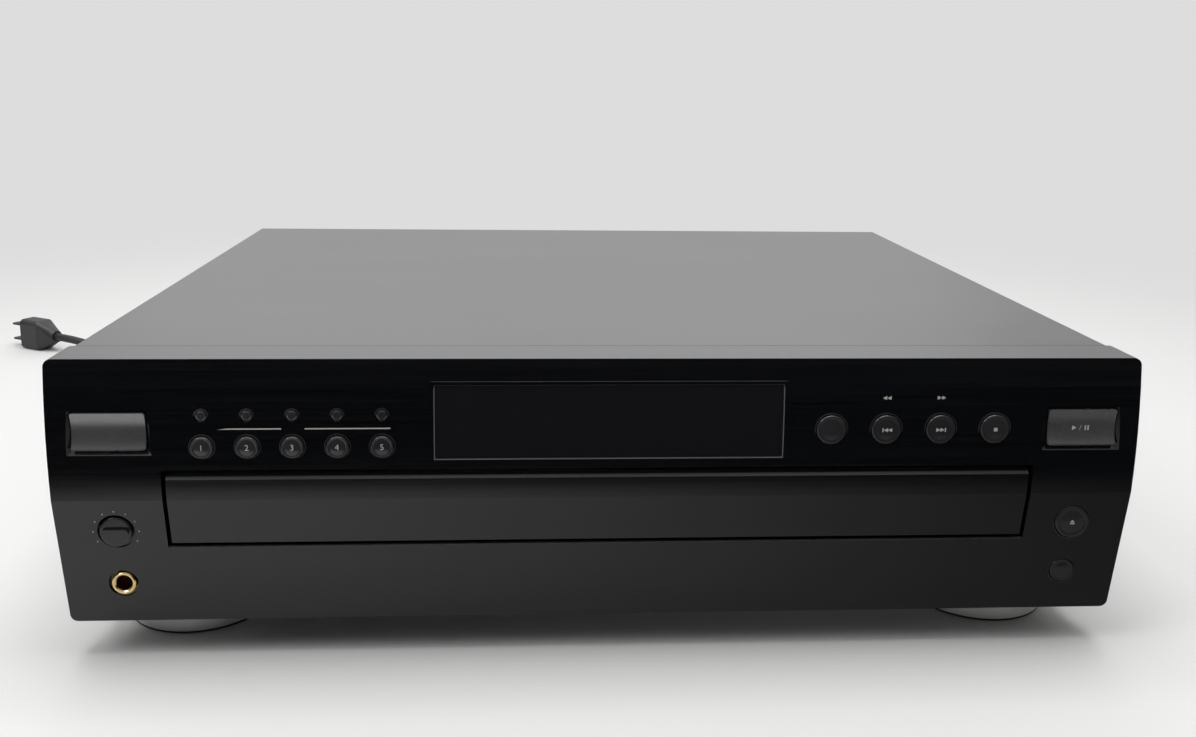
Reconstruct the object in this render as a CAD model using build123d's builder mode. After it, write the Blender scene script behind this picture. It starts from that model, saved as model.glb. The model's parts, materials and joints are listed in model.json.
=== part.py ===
"""A full-width carousel changer for five discs, with a wide motor drawer, in millimetres.

The origin is under the middle of the body on the surface that it stands on. +X points to the right
of someone who faces it, +Y into its depth and +Z up.
"""

import os
from math import acos, atan2, ceil, cos, degrees, hypot, pi, radians, sin, sqrt, tan

from build123d import *

os.makedirs("parts", exist_ok=True)

# ---------------------------------------------------------------- driving dimensions: casing
fascia_width = 435.0
fascia_bottom = 16.5  # height of its lower edge above the table
fascia_height = 112.0
fascia_depth = 25.1  # from its foremost point to the seam with the cover
fascia_wall = 2.5
crease_height = 72.0  # above the table; below it the face slants back
top_setback = 3.6
crown_height = 84.0  # the height of the foremost point of the upper face
crease_setback = 0.35
bottom_setback = 10.0
face_corner_radius = 3.0
body_depth = 363.6  # foremost point of the fascia to the rear panel's outer face
sheet = 0.8  # cover steel
plate = 1.0  # chassis steel
cover_inset = 2.9  # each side, from the fascia's side to the cover's
cover_corner_radius = 2.0
seam_gap = 0.3
base_bottom = 18.0
base_flange_height = 24.0
rear_lip_height = 10.0
fit_gap = 0.3  # between soft or curved neighbours and at sliding fits
running_gap = 0.06  # radial, a shaft in its bore

# feet
foot_radius = 31.0
foot_spacing_x = 357.8
front_foot_setback = 59.7
rear_foot_setback = 322.0
foot_pad_thickness = 1.0
foot_pad_inset = 1.4
foot_wall = 3.0
foot_boss_radius = 8.0

# screws
screw_radius = 1.45
screw_hole_radius = 1.5
cover_hole_radius = 1.7
screw_head_radius = 3.0
screw_head_height = 2.0
screw_length = 8.0
side_screw_height = 31.0
side_screw_setbacks = (120.0, 300.0)
rear_screw_spacing = 190.0

# drawer opening and drawer front
opening_width = 349.8
opening_bottom = 50.7
opening_height = 33.7
drawer_front_width = 346.4
drawer_front_gap_low = 2.1
drawer_front_gap_high = 2.0
drawer_front_bevel = 1.9
drawer_front_back = 9.5  # setback of its rear face

# display window
window_width = 138.6
window_height = 29.4
window_x = 1.1
window_z = 103.3
window_thickness = 1.6
window_ledge = 3.0  # width of the fascia's ledge that carries the window
window_border = 0.2
window_recess = 0.3

# controls on the upper face
key_width = 28.2
key_height = 14.9
key_x = 193.9
key_z = 100.2
key_bevel = 1.4
key_scoop = 1.6
button_gap = 0.25
button_travel = 0.8
button_flange = 1.0  # how far the hidden flange reaches past the cap
button_flange_thickness = 1.0
button_proud = 1.3
stem_radius = 1.5
disc_button_radius = 4.4
disc_button_z = 93.9
disc_button_first_x = -158.4
disc_button_pitch = 17.4
small_button_radius = 2.15
small_button_z = 106.4
transport_radius = 6.0
transport_z = 99.8
transport_first_x = 90.1
transport_pitch = 22.4

# controls on the slanted face
side_x = 194.3
open_button_radius = 7.0
open_button_z = 58.8
exchange_button_radius = 5.1
exchange_button_z = 35.2
knob_z = 58.3
knob_radius = 6.2
knob_recess_radius = 7.35
knob_recess_depth = 2.2
knob_proud = 1.0
knob_ridge_width = 3.2
knob_ridge_height = 1.6
knob_stem_radius = 3.0
jack_z = 34.3
jack_ring_radius = 4.8
jack_bore_radius = 3.2
jack_bore_length = 24.0
jack_body_size = 13.0
jack_recess_radius = 6.0
jack_recess_depth = 1.6

# boards
board = 1.6
front_board_setback = 14.0
front_board_bottom = 87.0
front_board_top = 125.0
front_board_width = 424.0
right_board_setback = 17.0
left_board_setback = 35.0
side_board_width = 34.0
side_board_bottom = 22.0
side_board_height = 54.0
switch_size = 6.0
switch_depth = 3.5
tube_width = 118.0
tube_height = 22.0
tube_depth = 6.0
main_board_bottom = 24.0
main_board_width = 316.0
main_board_front = 60.0
main_board_depth = 148.0
board_post_radius = 3.0
ribbon_width = 20.0
ribbon = 0.5

# carousel and drawer
disc_radius = 60.0
well_clearance = 0.6
well_circle_radius = 104.0  # carousel centre to well centre
disc_count = 5
carousel_radius = 165.0
carousel_top = 78.0
carousel_thickness = 6.5
well_depth = 2.4
small_disc_radius = 41.0
small_disc_depth = 1.2
well_slot_width = 36.0
hub_post_radius = 8.0
hub_wall = 5.0
ring_teeth = 84
ring_module = 1.5
ring_depth = 6.5
carousel_gear_teeth = 16
drawer_clearance = 2.0  # carousel rim to drawer wall
drawer_wall = 2.5
drawer_floor_bottom = 52.0
drawer_floor = 2.5
drawer_wall_top = 80.0
runner_width = 3.0
runner_bottom = 54.6
runner_height = 5.0
rib_radius = 150.0
rib_width = 3.0
mech_gap_width = 124.0  # the drawer's rear cut-out, round the playback mechanism
mech_gap_front = 245.0  # its setback
drawer_travel = 235.0
cap_radius = 22.0
cap_height = 2.4

# loader frame and its gears
frame_bottom = 42.0
frame_plate = 2.5
frame_front = 30.0
frame_back = 358.0
frame_reach = 206.0
rail_wall = 2.0
leg_radius = 5.0
rack_module = 1.5
pinion_teeth = 12
pinion_setback = 45.0
stage_module = 1.0
large_teeth = 24
small_teeth = 10
gear_pin_radius = 2.0
stage_gear_height = 4.0
belt_pulley_radius = 12.4
motor_pulley_radius = 3.2
pulley_height = 3.0
belt = 1.2
motor_radius = 10.0
motor_length = 22.0
motor_shaft_radius = 1.0
motor_offset = 38.0

# playback mechanism; heights in it are counted from the disc seat of the disc table
spindle_height = 66.5  # the disc seat with the deck down
deck_lift = 14.5
table_radius = 14.0
table_thickness = 2.0
cone_radius = 7.4
cone_height = 3.5
deck_width = 96.0
deck_front = 253.0
deck_back = 357.0
deck_plate = 2.0
deck_drop = 21.7  # disc seat down to the deck's underside
guide_post_radius = 2.5
guide_post_x = 42.0
guide_post_setbacks = (264.0, 350.0)
deck_motor_radius = 12.2
deck_motor_height = 9.0
sled_width = 38.0
sled_length = 18.0
sled_height = 6.5
sled_drop = 17.0
lens_start = 24.0  # spindle to lens at the innermost track
lens_inset = 8.0
lens_radius = 3.5
turret_size = 22.0
turret_length = 15.0
sled_travel = 32.0
rod_radius = 1.5
rod_spacing = 30.0
rod_drop = 14.0
sled_gear_teeth = 12
sled_gear_module = 0.8
sled_gear_height = 3.0
cam_setback = 250.0
cam_thickness = 2.4
cam_bottom = 44.8
cam_top = 67.5
cam_left = -60.0
cam_right = 31.0
cam_ratio = 2.0  # cam travel for each millimetre of lift
cam_pin_x = 24.0
cam_pin_height = 49.5
cam_pin_radius = 1.5
cam_slot_gap = 0.2
cam_rack_left = -42.0
cam_rack_right = 2.0
lift_gear_teeth = 12
lift_gear_axis = 32.0
bridge_height = 88.0
bridge_thickness = 2.5
bridge_width = 36.0
bridge_x = 179.0
clamper_radius = 15.0
clamper_pad = 3.6
clamper_neck_radius = 7.0
clamper_top_radius = 12.0
clamper_gap = 1.5  # pad above the disc seat with the deck up

# power supply and rear
transformer_x = -195.0
transformer_setback = 228.0
core_size = (32.0, 42.0, 30.0)
coil_former_size = (24.0, 26.0, 22.0)
line_jack_x = 187.0
line_jack_z = 48.0
line_jack_spacing = 14.0
line_jack_radius = 4.15
line_jack_bore = 1.7
line_jack_collar = 0.45  # the barrel's root, which fills the panel's hole, is this much larger
line_jack_collar_proud = 0.1
jack_reach = 9.0
control_jack_x = 203.5
control_jack_radius = 1.8
control_jack_length = 12.0
relief_x = -150.0
relief_z = 40.0
relief_length = 24.0
relief_flange_radius = 9.0
relief_flange = 2.0

# mains cord
cord_diameter = 6.2
plug_length = 34.0
plug_height = 25.0
plug_thickness = 17.0
blade_length = 16.0
blade_width = 6.35
blade_thickness = 1.5
blade_spacing = 12.7

# ---------------------------------------------------------------- worked-out places
front_y = -(body_depth + jack_reach - button_proud) / 2
rear_y = front_y + body_depth
fascia_top = fascia_bottom + fascia_height
cover_width = fascia_width - 2 * cover_inset
inner_half = cover_width / 2 - sheet
base_top = base_bottom + plate
opening_top = opening_bottom + opening_height
carousel_setback = drawer_front_back + drawer_wall + drawer_clearance + carousel_radius
carousel_y = front_y + carousel_setback
spindle_y = carousel_y + well_circle_radius
drawer_inner_half = carousel_radius + drawer_clearance
drawer_half = drawer_inner_half + drawer_wall
drawer_back_setback = carousel_setback + carousel_radius + drawer_clearance + drawer_wall
drawer_floor_top = drawer_floor_bottom + drawer_floor
carousel_bottom = carousel_top - carousel_thickness
frame_top = frame_bottom + frame_plate
pinion_radius = pinion_teeth * rack_module / 2
rack_line_x = drawer_half + runner_width
pinion_x = rack_line_x + pinion_radius
pinion_y = front_y + pinion_setback
stage_distance = (large_teeth + small_teeth) * stage_module / 2
stage_angle = radians(60)
loading_gear_x = pinion_x + stage_distance * cos(stage_angle)
loading_gear_y = pinion_y + stage_distance * sin(stage_angle)
motor_x = loading_gear_x
motor_y = loading_gear_y + motor_offset
addendum = 0.8  # in modules
dedendum = 1.15  # in modules
tooth_share = 0.43  # tooth thickness as a share of the pitch
pressure_angle = radians(20)


def facing(setback):
    """The upright plane at this setback from the fascia's foremost point, facing the front."""
    return Plane.XZ.offset(-(front_y + setback))


def level(height):
    """The flat plane at this height above the table."""
    return Plane.XY.offset(height)


def crown_radius():
    """The radius of the upper face's shallow arc, from its foremost point to its top edge."""
    rise = fascia_top - crown_height
    return (rise**2 + top_setback**2) / (2 * top_setback)


def face_setback(height):
    """How far back the fascia's outer face lies at this height."""
    if height < crease_height:
        share = (crease_height - height) / (crease_height - fascia_bottom)
        return crease_setback + share * (bottom_setback - crease_setback)
    if height < crown_height:
        share = (crown_height - height) / (crown_height - crease_height)
        return crease_setback * share**2
    return (height - crown_height) ** 2 / (2 * crown_radius())


def finish(block, label):
    """Name a finished piece and write it."""
    block.part.label = label
    export_step(block.part, f"parts/{label}.step")


def front_profile(inset, back):
    """Side profile of the fascia, drawn in by inset, from its front face to the setback back."""
    with BuildSketch(Plane.YZ) as profile:
        with BuildLine():
            top = (front_y + face_setback(fascia_top - inset) + inset, fascia_top - inset)
            crown = (front_y + inset, crown_height)
            crease = (front_y + crease_setback + inset, crease_height)
            bottom = (front_y + face_setback(fascia_bottom + inset) + inset, fascia_bottom + inset)
            ThreePointArc(top, crown, crease)
            Polyline(crease, bottom, (front_y + back, bottom[1]), (front_y + back, top[1]), top)
        make_face()
    return profile.sketch


def involute(angle):
    """The involute function of a pressure angle."""
    return tan(angle) - angle


def tooth_flank(teeth, module):
    """Radius and half angle of one gear tooth, from its root to its tip."""
    pitch = teeth * module / 2
    base = pitch * cos(pressure_angle)
    root = pitch - dedendum * module
    tip = pitch + addendum * module
    half = tooth_share * pi / teeth
    steps = 4
    start = max(base, root)
    flank = []
    for step in range(steps):
        radius = start + (tip - start) * step / (steps - 1)
        flank.append((radius, half + involute(pressure_angle) - involute(acos(base / radius))))
    if root < base:
        flank.insert(0, (root, flank[0][1]))
    return flank


def gear_outline(teeth, module, turn=0.0):
    """Points of a spur gear's outline, with a tooth centred on the angle turn in degrees."""
    flank = tooth_flank(teeth, module)
    points = []
    for tooth in range(teeth):
        middle = radians(turn) + 2 * pi * tooth / teeth
        for radius, half in flank:
            points.append((radius * cos(middle - half), radius * sin(middle - half)))
        for radius, half in reversed(flank):
            points.append((radius * cos(middle + half), radius * sin(middle + half)))
    return points


def rack_outline(teeth, module, back):
    """Points of a rack along X with teeth pointing to +Y, its pitch line on Y = 0."""
    pitch = pi * module
    half = tooth_share * pitch / 2
    tip = half - addendum * module * tan(pressure_angle)
    root = half + dedendum * module * tan(pressure_angle)
    points = [(-pitch / 2, -back)]
    for tooth in range(teeth):
        middle = tooth * pitch
        points.append((middle - root, -dedendum * module))
        points.append((middle - tip, addendum * module))
        points.append((middle + tip, addendum * module))
        points.append((middle + root, -dedendum * module))
    points.append((teeth * pitch - pitch / 2, -back))
    points.insert(1, (-pitch / 2, -dedendum * module))
    points.insert(-1, (teeth * pitch - pitch / 2, -dedendum * module))
    return points


def outline_face(points):
    """A flat face inside a closed line through these points, made apart from any open block."""
    with BuildSketch(Plane.XY, mode=Mode.PRIVATE) as outline:
        with BuildLine():
            Polyline(*points, close=True)
        make_face()
    return outline.sketch


# ---------------------------------------------------------------- casing
cover_front = fascia_depth + seam_gap
cover_length = body_depth + sheet - cover_front
cover_bottom = base_bottom + plate
cover_height = fascia_top - cover_bottom
cover_top_inside = fascia_top - sheet
side_screw_places = [(front_y + setback, side_screw_height) for setback in side_screw_setbacks]
rear_screw_z = fascia_top - rear_lip_height / 2
rear_screw_places = [(x, rear_screw_z) for x in (-rear_screw_spacing, 0, rear_screw_spacing)]

with BuildPart() as top_cover:
    with BuildSketch(facing(body_depth + sheet)):
        with Locations((0, cover_bottom)):
            Rectangle(cover_width, cover_height, align=(Align.CENTER, Align.MIN))
    extrude(amount=cover_length)
    top_edges = top_cover.edges().filter_by(Axis.Y).group_by(Axis.Z)[-1]
    fillet(top_edges, radius=cover_corner_radius)
    with BuildSketch(facing(body_depth)):
        with Locations((0, cover_bottom)):
            Rectangle(cover_width - 2 * sheet, cover_height - sheet, align=(Align.CENTER, Align.MIN))
    extrude(amount=cover_length, mode=Mode.SUBTRACT)
    with BuildSketch(facing(body_depth + sheet)):
        with Locations((0, cover_bottom)):
            Rectangle(
                cover_width - 2 * sheet, cover_height - rear_lip_height, align=(Align.CENTER, Align.MIN)
            )
    extrude(amount=sheet, mode=Mode.SUBTRACT)
    with BuildSketch(Plane.YZ):
        with Locations(*side_screw_places):
            Circle(cover_hole_radius)
    extrude(amount=cover_width, both=True, mode=Mode.SUBTRACT)
    with BuildSketch(facing(body_depth + sheet)):
        with Locations(*rear_screw_places):
            Circle(cover_hole_radius)
    extrude(amount=sheet, mode=Mode.SUBTRACT)
finish(top_cover, "top_cover")

base_front = fascia_depth + seam_gap
base_depth = body_depth - plate - base_front
foot_places = [
    (x, front_y + setback)
    for x in (-foot_spacing_x / 2, foot_spacing_x / 2)
    for setback in (front_foot_setback, rear_foot_setback)
]
vent_slot_length = 28.0
vent_slot_width = 3.0
vent_pitch = 9.0
base_vent_count = 9
base_vent_setback = 250.0
base_flange_width = 340.0

with BuildPart() as chassis_base:
    with BuildSketch(facing(body_depth - plate)):
        with Locations((0, base_bottom)):
            Rectangle(2 * inner_half, base_flange_height, align=(Align.CENTER, Align.MIN))
        with Locations((0, base_top)):
            Rectangle(
                2 * (inner_half - plate),
                base_flange_height,
                align=(Align.CENTER, Align.MIN),
                mode=Mode.SUBTRACT,
            )
    extrude(amount=base_depth)
    with BuildSketch(facing(base_front + plate)):
        with Locations((0, base_bottom)):
            Rectangle(base_flange_width, base_flange_height, align=(Align.CENTER, Align.MIN))
    extrude(amount=plate)
    with BuildSketch(level(base_bottom)):
        with Locations(*foot_places):
            Circle(screw_hole_radius)
        for side in (-1, 1):
            with Locations((side * foot_spacing_x / 4, front_y + base_vent_setback)):
                with GridLocations(vent_pitch, 0, base_vent_count, 1):
                    SlotOverall(vent_slot_length, vent_slot_width, rotation=90)
    extrude(amount=plate, mode=Mode.SUBTRACT)
    with BuildSketch(Plane.YZ):
        with Locations(*side_screw_places):
            Circle(screw_hole_radius)
    extrude(amount=cover_width, both=True, mode=Mode.SUBTRACT)
finish(chassis_base, "chassis_base")

control_jack_places = [(control_jack_x, line_jack_z + side * line_jack_spacing / 2) for side in (-1, 1)]
line_jack_places = [(line_jack_x, line_jack_z + side * line_jack_spacing / 2) for side in (-1, 1)]
rear_vent_count = 15
rear_vent_x = -60.0
rear_vent_z = 95.0

with BuildPart() as rear_panel:
    with BuildSketch(facing(body_depth)):
        with Locations((0, base_bottom)):
            Rectangle(2 * inner_half, cover_top_inside - base_bottom, align=(Align.CENTER, Align.MIN))
        with Locations(*line_jack_places):
            Circle(line_jack_radius + line_jack_collar + fit_gap, mode=Mode.SUBTRACT)
        with Locations(*control_jack_places):
            Circle(control_jack_radius + 1 + fit_gap, mode=Mode.SUBTRACT)
        with Locations((relief_x, relief_z)):
            Circle(relief_flange_radius - relief_flange, mode=Mode.SUBTRACT)
        with Locations(*rear_screw_places):
            Circle(screw_hole_radius, mode=Mode.SUBTRACT)
        with Locations((rear_vent_x, rear_vent_z)):
            with GridLocations(vent_pitch, 0, rear_vent_count, 1):
                SlotOverall(vent_slot_length, vent_slot_width, rotation=90, mode=Mode.SUBTRACT)
    extrude(amount=plate)
finish(rear_panel, "rear_panel")

foot_height = base_bottom - foot_pad_thickness
foot_shoulder = 2.0
foot_dome = 1.2
foot_bore_radius = screw_head_radius + 1
foot_seat = 4.0

with BuildPart() as one_foot:
    with BuildSketch(Plane.XZ):
        with BuildLine():
            low = (foot_radius - foot_dome, foot_pad_thickness)
            belly = (foot_radius, foot_pad_thickness + foot_height / 3)
            high = (foot_radius - foot_shoulder, base_bottom)
            ThreePointArc(low, belly, high)
            Polyline(high, (0, base_bottom), (0, foot_pad_thickness), low)
        make_face()
    revolve(axis=Axis.Z)
    with BuildSketch(level(base_bottom)):
        Circle(foot_radius - foot_wall - foot_dome)
        Circle(foot_boss_radius, mode=Mode.SUBTRACT)
    extrude(amount=foot_wall - foot_height, mode=Mode.SUBTRACT)
    with BuildSketch(level(foot_pad_thickness)):
        Circle(foot_bore_radius)
    extrude(amount=foot_height - foot_seat, mode=Mode.SUBTRACT)
    with BuildSketch(level(base_bottom)):
        Circle(cover_hole_radius)
    extrude(amount=-foot_seat, mode=Mode.SUBTRACT)

with BuildPart() as feet:
    with Locations(*foot_places):
        add(one_foot.part)
finish(feet, "feet")

with BuildPart() as foot_pads:
    with BuildSketch(Plane.XY):
        with Locations(*foot_places):
            Circle(foot_radius - foot_pad_inset)
            Circle(foot_boss_radius, mode=Mode.SUBTRACT)
    extrude(amount=foot_pad_thickness)
finish(foot_pads, "foot_pads")


def screw_at(plane):
    """A pan-head screw whose head sits on the plane's outer side and whose shank goes in."""
    with BuildPart(mode=Mode.PRIVATE) as screw:
        with BuildSketch(plane):
            Circle(screw_head_radius)
        extrude(amount=screw_head_height)
        with BuildSketch(plane):
            Circle(screw_radius)
        extrude(amount=-screw_length)
    return screw.part


screw_planes = []
for y, z in side_screw_places:
    screw_planes.append(Plane((cover_width / 2, y, z), z_dir=(1, 0, 0)))
    screw_planes.append(Plane((-cover_width / 2, y, z), z_dir=(-1, 0, 0)))
for x, z in rear_screw_places:
    screw_planes.append(Plane((x, rear_y + sheet, z), z_dir=(0, 1, 0)))
for x, y in foot_places:
    screw_planes.append(Plane((x, y, base_bottom - foot_seat), z_dir=(0, 0, -1)))

with BuildPart() as case_screws:
    for plane in screw_planes:
        add(screw_at(plane))
finish(case_screws, "case_screws")

# ---------------------------------------------------------------- front fascia
disc_button_places = [(disc_button_first_x + disc_button_pitch * i, disc_button_z) for i in range(disc_count)]
small_button_places = [(x, small_button_z) for x, z in disc_button_places]
transport_places = [(transport_first_x + transport_pitch * i, transport_z) for i in range(4)]
key_places = [(-key_x, key_z), (key_x, key_z)]
open_button_place = (side_x, open_button_z)
exchange_button_place = (side_x, exchange_button_z)
knob_place = (-side_x, knob_z)
jack_place = (-side_x, jack_z)
window_back = window_thickness + face_setback(window_z + window_height / 2)
cut_depth = 14.0  # deeper than the face's setback anywhere on the front
front_board_posts = [(x, front_board_top - board_post_radius) for x in (-172.0, -78.0, 78.0, 172.0)]
side_board_top = side_board_bottom + side_board_height
side_post_z = (side_board_bottom + board_post_radius, side_board_top - board_post_radius)
right_board_posts = [(side_x - side_board_width / 2 + board_post_radius, z) for z in side_post_z]
left_board_posts = [(-x, z) for x, z in right_board_posts]

with BuildPart() as front_fascia:
    extrude(front_profile(0, fascia_depth), amount=fascia_width / 2, dir=(1, 0, 0), both=True)
    corner_edges = front_fascia.edges().filter_by(Axis.Y)
    fillet(corner_edges, radius=face_corner_radius)
    extrude(
        front_profile(fascia_wall, fascia_depth),
        amount=fascia_width / 2 - fascia_wall,
        dir=(1, 0, 0),
        both=True,
        mode=Mode.SUBTRACT,
    )
    for posts, setback in (
        (front_board_posts, front_board_setback),
        (right_board_posts, right_board_setback),
        (left_board_posts, left_board_setback),
    ):
        for x, z in posts:
            with BuildSketch(facing(setback)):
                with Locations((x, z)):
                    Circle(board_post_radius)
            extrude(amount=setback - face_setback(z) - fascia_wall / 2)
    with BuildSketch(facing(window_back + window_thickness)):
        with Locations((window_x, window_z)):
            Rectangle(window_width + 2 * window_thickness, window_height + 2 * window_thickness)
    extrude(amount=window_back + window_thickness - fascia_wall * 3 / 4)
    with BuildSketch(facing(cut_depth)):
        with Locations((0, opening_bottom)):
            Rectangle(opening_width, opening_height, align=(Align.CENTER, Align.MIN))
        with Locations((window_x, window_z)):
            Rectangle(window_width - 2 * window_ledge, window_height - 2 * window_ledge)
        with Locations(*key_places):
            Rectangle(key_width + 2 * button_gap, key_height + 2 * button_gap)
        with Locations(*disc_button_places):
            Circle(disc_button_radius + button_gap)
        with Locations(*small_button_places):
            Circle(small_button_radius + button_gap)
        with Locations(*transport_places):
            Circle(transport_radius + button_gap)
        with Locations(open_button_place):
            Circle(open_button_radius + button_gap)
        with Locations(exchange_button_place):
            Circle(exchange_button_radius + button_gap)
        with Locations(knob_place):
            Circle(knob_stem_radius + fit_gap)
        with Locations(jack_place):
            Circle(jack_ring_radius + fit_gap)
    extrude(amount=2 * cut_depth, mode=Mode.SUBTRACT)
    with BuildSketch(facing(window_back)):
        with Locations((window_x, window_z)):
            Rectangle(window_width + 2 * window_border, window_height + 2 * window_border)
    extrude(amount=cut_depth, mode=Mode.SUBTRACT)
    for x, z in key_places:
        with BuildSketch(facing(face_setback(z) + key_bevel)):
            with Locations((x, z)):
                Rectangle(key_width + 2 * button_gap, key_height + 2 * button_gap)
        extrude(amount=2 * key_bevel, taper=-45, mode=Mode.SUBTRACT)
    with BuildSketch(facing(face_setback(knob_z) + knob_recess_depth)):
        with Locations(knob_place):
            Circle(knob_recess_radius)
    extrude(amount=cut_depth, mode=Mode.SUBTRACT)
    with BuildSketch(facing(face_setback(jack_z) + jack_recess_depth)):
        with Locations(jack_place):
            Circle(jack_recess_radius)
    extrude(amount=cut_depth, mode=Mode.SUBTRACT)
finish(front_fascia, "front_fascia")

with BuildPart() as display_window:
    extrude(front_profile(window_recess, fascia_depth), amount=fascia_width / 2, dir=(1, 0, 0), both=True)
    with BuildSketch(facing(window_back)):
        with Locations((window_x, window_z)):
            RectangleRounded(window_width, window_height, 1.0)
    extrude(amount=2 * cut_depth, mode=Mode.INTERSECT)
finish(display_window, "display_window")

drawer_front_bottom = opening_bottom + drawer_front_gap_low
drawer_front_top = opening_top - drawer_front_gap_high
with BuildPart() as drawer_front:
    extrude(front_profile(0, fascia_depth), amount=drawer_front_width / 2, dir=(1, 0, 0), both=True)
    with BuildSketch(facing(drawer_front_back)):
        with Locations((0, drawer_front_bottom)):
            Rectangle(
                drawer_front_width, drawer_front_top - drawer_front_bottom, align=(Align.CENTER, Align.MIN)
            )
    extrude(amount=2 * cut_depth, mode=Mode.INTERSECT)
    top_front_edge = drawer_front.edges().filter_by(Axis.X).group_by(Axis.Z)[-1].sort_by(Axis.Y)[0]
    chamfer(top_front_edge, length=drawer_front_bevel)
finish(drawer_front, "drawer_front")

# ---------------------------------------------------------------- buttons, knob and jack
front_switch_face = front_board_setback - switch_depth
right_switch_face = right_board_setback - switch_depth
plunger_gap = button_travel + fit_gap


def round_button(x, z, radius, proud, switch_face):
    """A round push button: domed cap through the fascia, hidden flange and stem to its switch."""
    dome = radius / 5
    front = face_setback(z) - proud
    reach = radius + button_flange
    flange_front = max(face_setback(z - reach), face_setback(z + reach)) + fascia_wall + fit_gap
    with BuildPart(mode=Mode.PRIVATE) as button:
        with BuildSketch(facing(flange_front)):
            with Locations((x, z)):
                Circle(radius)
        extrude(amount=flange_front - front)
        with BuildSketch(facing(front - dome)):
            with Locations((x, z)):
                Circle(radius * 2 / 3)
        with BuildSketch(facing(front)):
            with Locations((x, z)):
                Circle(radius)
        loft()
        with BuildSketch(facing(flange_front + button_flange_thickness)):
            with Locations((x, z)):
                Circle(radius + button_flange)
        extrude(amount=button_flange_thickness)
        with BuildSketch(facing(switch_face - plunger_gap)):
            with Locations((x, z)):
                Circle(stem_radius)
        extrude(amount=switch_face - plunger_gap - flange_front)
    return button.part


def wide_key(x, z):
    """A wide push key with a scooped face, a hidden flange and a stem to its switch."""
    front = face_setback(z) - button_proud / 2
    flange_front = face_setback(z + key_height / 2 + button_flange) + fascia_wall + fit_gap
    scoop_radius = (key_height**2 / 4 + key_scoop**2) / (2 * key_scoop)
    with BuildPart(mode=Mode.PRIVATE) as key:
        with BuildSketch(facing(flange_front)):
            with Locations((x, z)):
                RectangleRounded(key_width, key_height, 1.0)
        extrude(amount=flange_front - front)
        with BuildSketch(Plane.YZ.offset(x)):
            with Locations((front_y + front - scoop_radius + key_scoop, z + key_bevel / 2)):
                Circle(scoop_radius)
        extrude(amount=key_width, both=True, mode=Mode.SUBTRACT)
        with BuildSketch(facing(flange_front + button_flange_thickness)):
            with Locations((x, z)):
                Rectangle(key_width + 2 * button_flange, key_height + 2 * button_flange)
        extrude(amount=button_flange_thickness)
        with BuildSketch(facing(front_switch_face - plunger_gap)):
            with Locations((x, z)):
                Circle(stem_radius)
        extrude(amount=front_switch_face - plunger_gap - flange_front)
    return key.part


for key_name, (key_place_x, key_place_z) in zip(("power_button", "play_pause_button"), key_places):
    with BuildPart() as wide_button:
        add(wide_key(key_place_x, key_place_z))
    finish(wide_button, key_name)

for number, (button_x, button_z) in enumerate(disc_button_places, 1):
    with BuildPart() as disc_button:
        add(round_button(button_x, button_z, disc_button_radius, button_proud / 2, front_switch_face))
    finish(disc_button, f"disc_button_{number}")

small_button_names = ("call_button", "memory_button", "random_button", "mode_button", "repeat_button")
for button_name, (button_x, button_z) in zip(small_button_names, small_button_places):
    with BuildPart() as small_button:
        add(round_button(button_x, button_z, small_button_radius, 0, front_switch_face))
    finish(small_button, button_name)

transport_names = ("skip_button", "search_back_button", "search_forward_button", "stop_button")
for button_name, (button_x, button_z) in zip(transport_names, transport_places):
    with BuildPart() as transport_button:
        add(round_button(button_x, button_z, transport_radius, 0, front_switch_face))
    finish(transport_button, button_name)

with BuildPart() as open_close_button:
    add(round_button(*open_button_place, open_button_radius, 0, right_switch_face))
finish(open_close_button, "open_close_button")

with BuildPart() as exchange_button:
    add(round_button(*exchange_button_place, exchange_button_radius, 0, right_switch_face))
finish(exchange_button, "exchange_button")

knob_front = face_setback(knob_z) - knob_proud
knob_back = face_setback(knob_z) + knob_recess_depth - fit_gap
pot_front = face_setback(knob_z) + knob_recess_depth + 4 * fascia_wall
pot_size = 14.0
knob_stem_end = pot_front + 6.0

with BuildPart() as level_knob:
    with BuildSketch(facing(knob_back)):
        with Locations(knob_place):
            Circle(knob_radius)
    extrude(amount=knob_back - knob_front)
    front_rim = level_knob.edges().filter_by(GeomType.CIRCLE).sort_by(Axis.Y)[0]
    fillet(front_rim, radius=0.6)
    with BuildSketch(facing(knob_front)):
        with Locations(knob_place):
            SlotOverall(2 * knob_radius - 1.6, knob_ridge_width)
    extrude(amount=knob_ridge_height)
    with BuildSketch(facing(knob_stem_end)):
        with Locations(knob_place):
            Circle(knob_stem_radius)
    extrude(amount=knob_stem_end - knob_back)
finish(level_knob, "level_knob")

jack_front = face_setback(jack_z) + fit_gap
jack_body_front = face_setback(jack_z - jack_body_size / 2) + fascia_wall + fit_gap

with BuildPart() as headphone_jack:
    with BuildSketch(facing(left_board_setback)):
        with Locations(jack_place):
            Rectangle(jack_body_size, jack_body_size)
    extrude(amount=left_board_setback - jack_body_front)
    with BuildSketch(facing(jack_body_front)):
        with Locations(jack_place):
            Circle(jack_ring_radius)
    extrude(amount=jack_body_front - jack_front)
    with BuildSketch(facing(jack_front)):
        with Locations(jack_place):
            Circle(jack_bore_radius)
    extrude(amount=-jack_bore_length, mode=Mode.SUBTRACT)
    mouth_edges = headphone_jack.edges().filter_by(GeomType.CIRCLE).group_by(Axis.Y)[0]
    ring_edge = mouth_edges.sort_by(SortBy.RADIUS)[-1]
    fillet(ring_edge, radius=0.8)
finish(headphone_jack, "headphone_jack")

# ---------------------------------------------------------------- boards and display
front_switch_places = disc_button_places + small_button_places + transport_places + key_places

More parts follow.
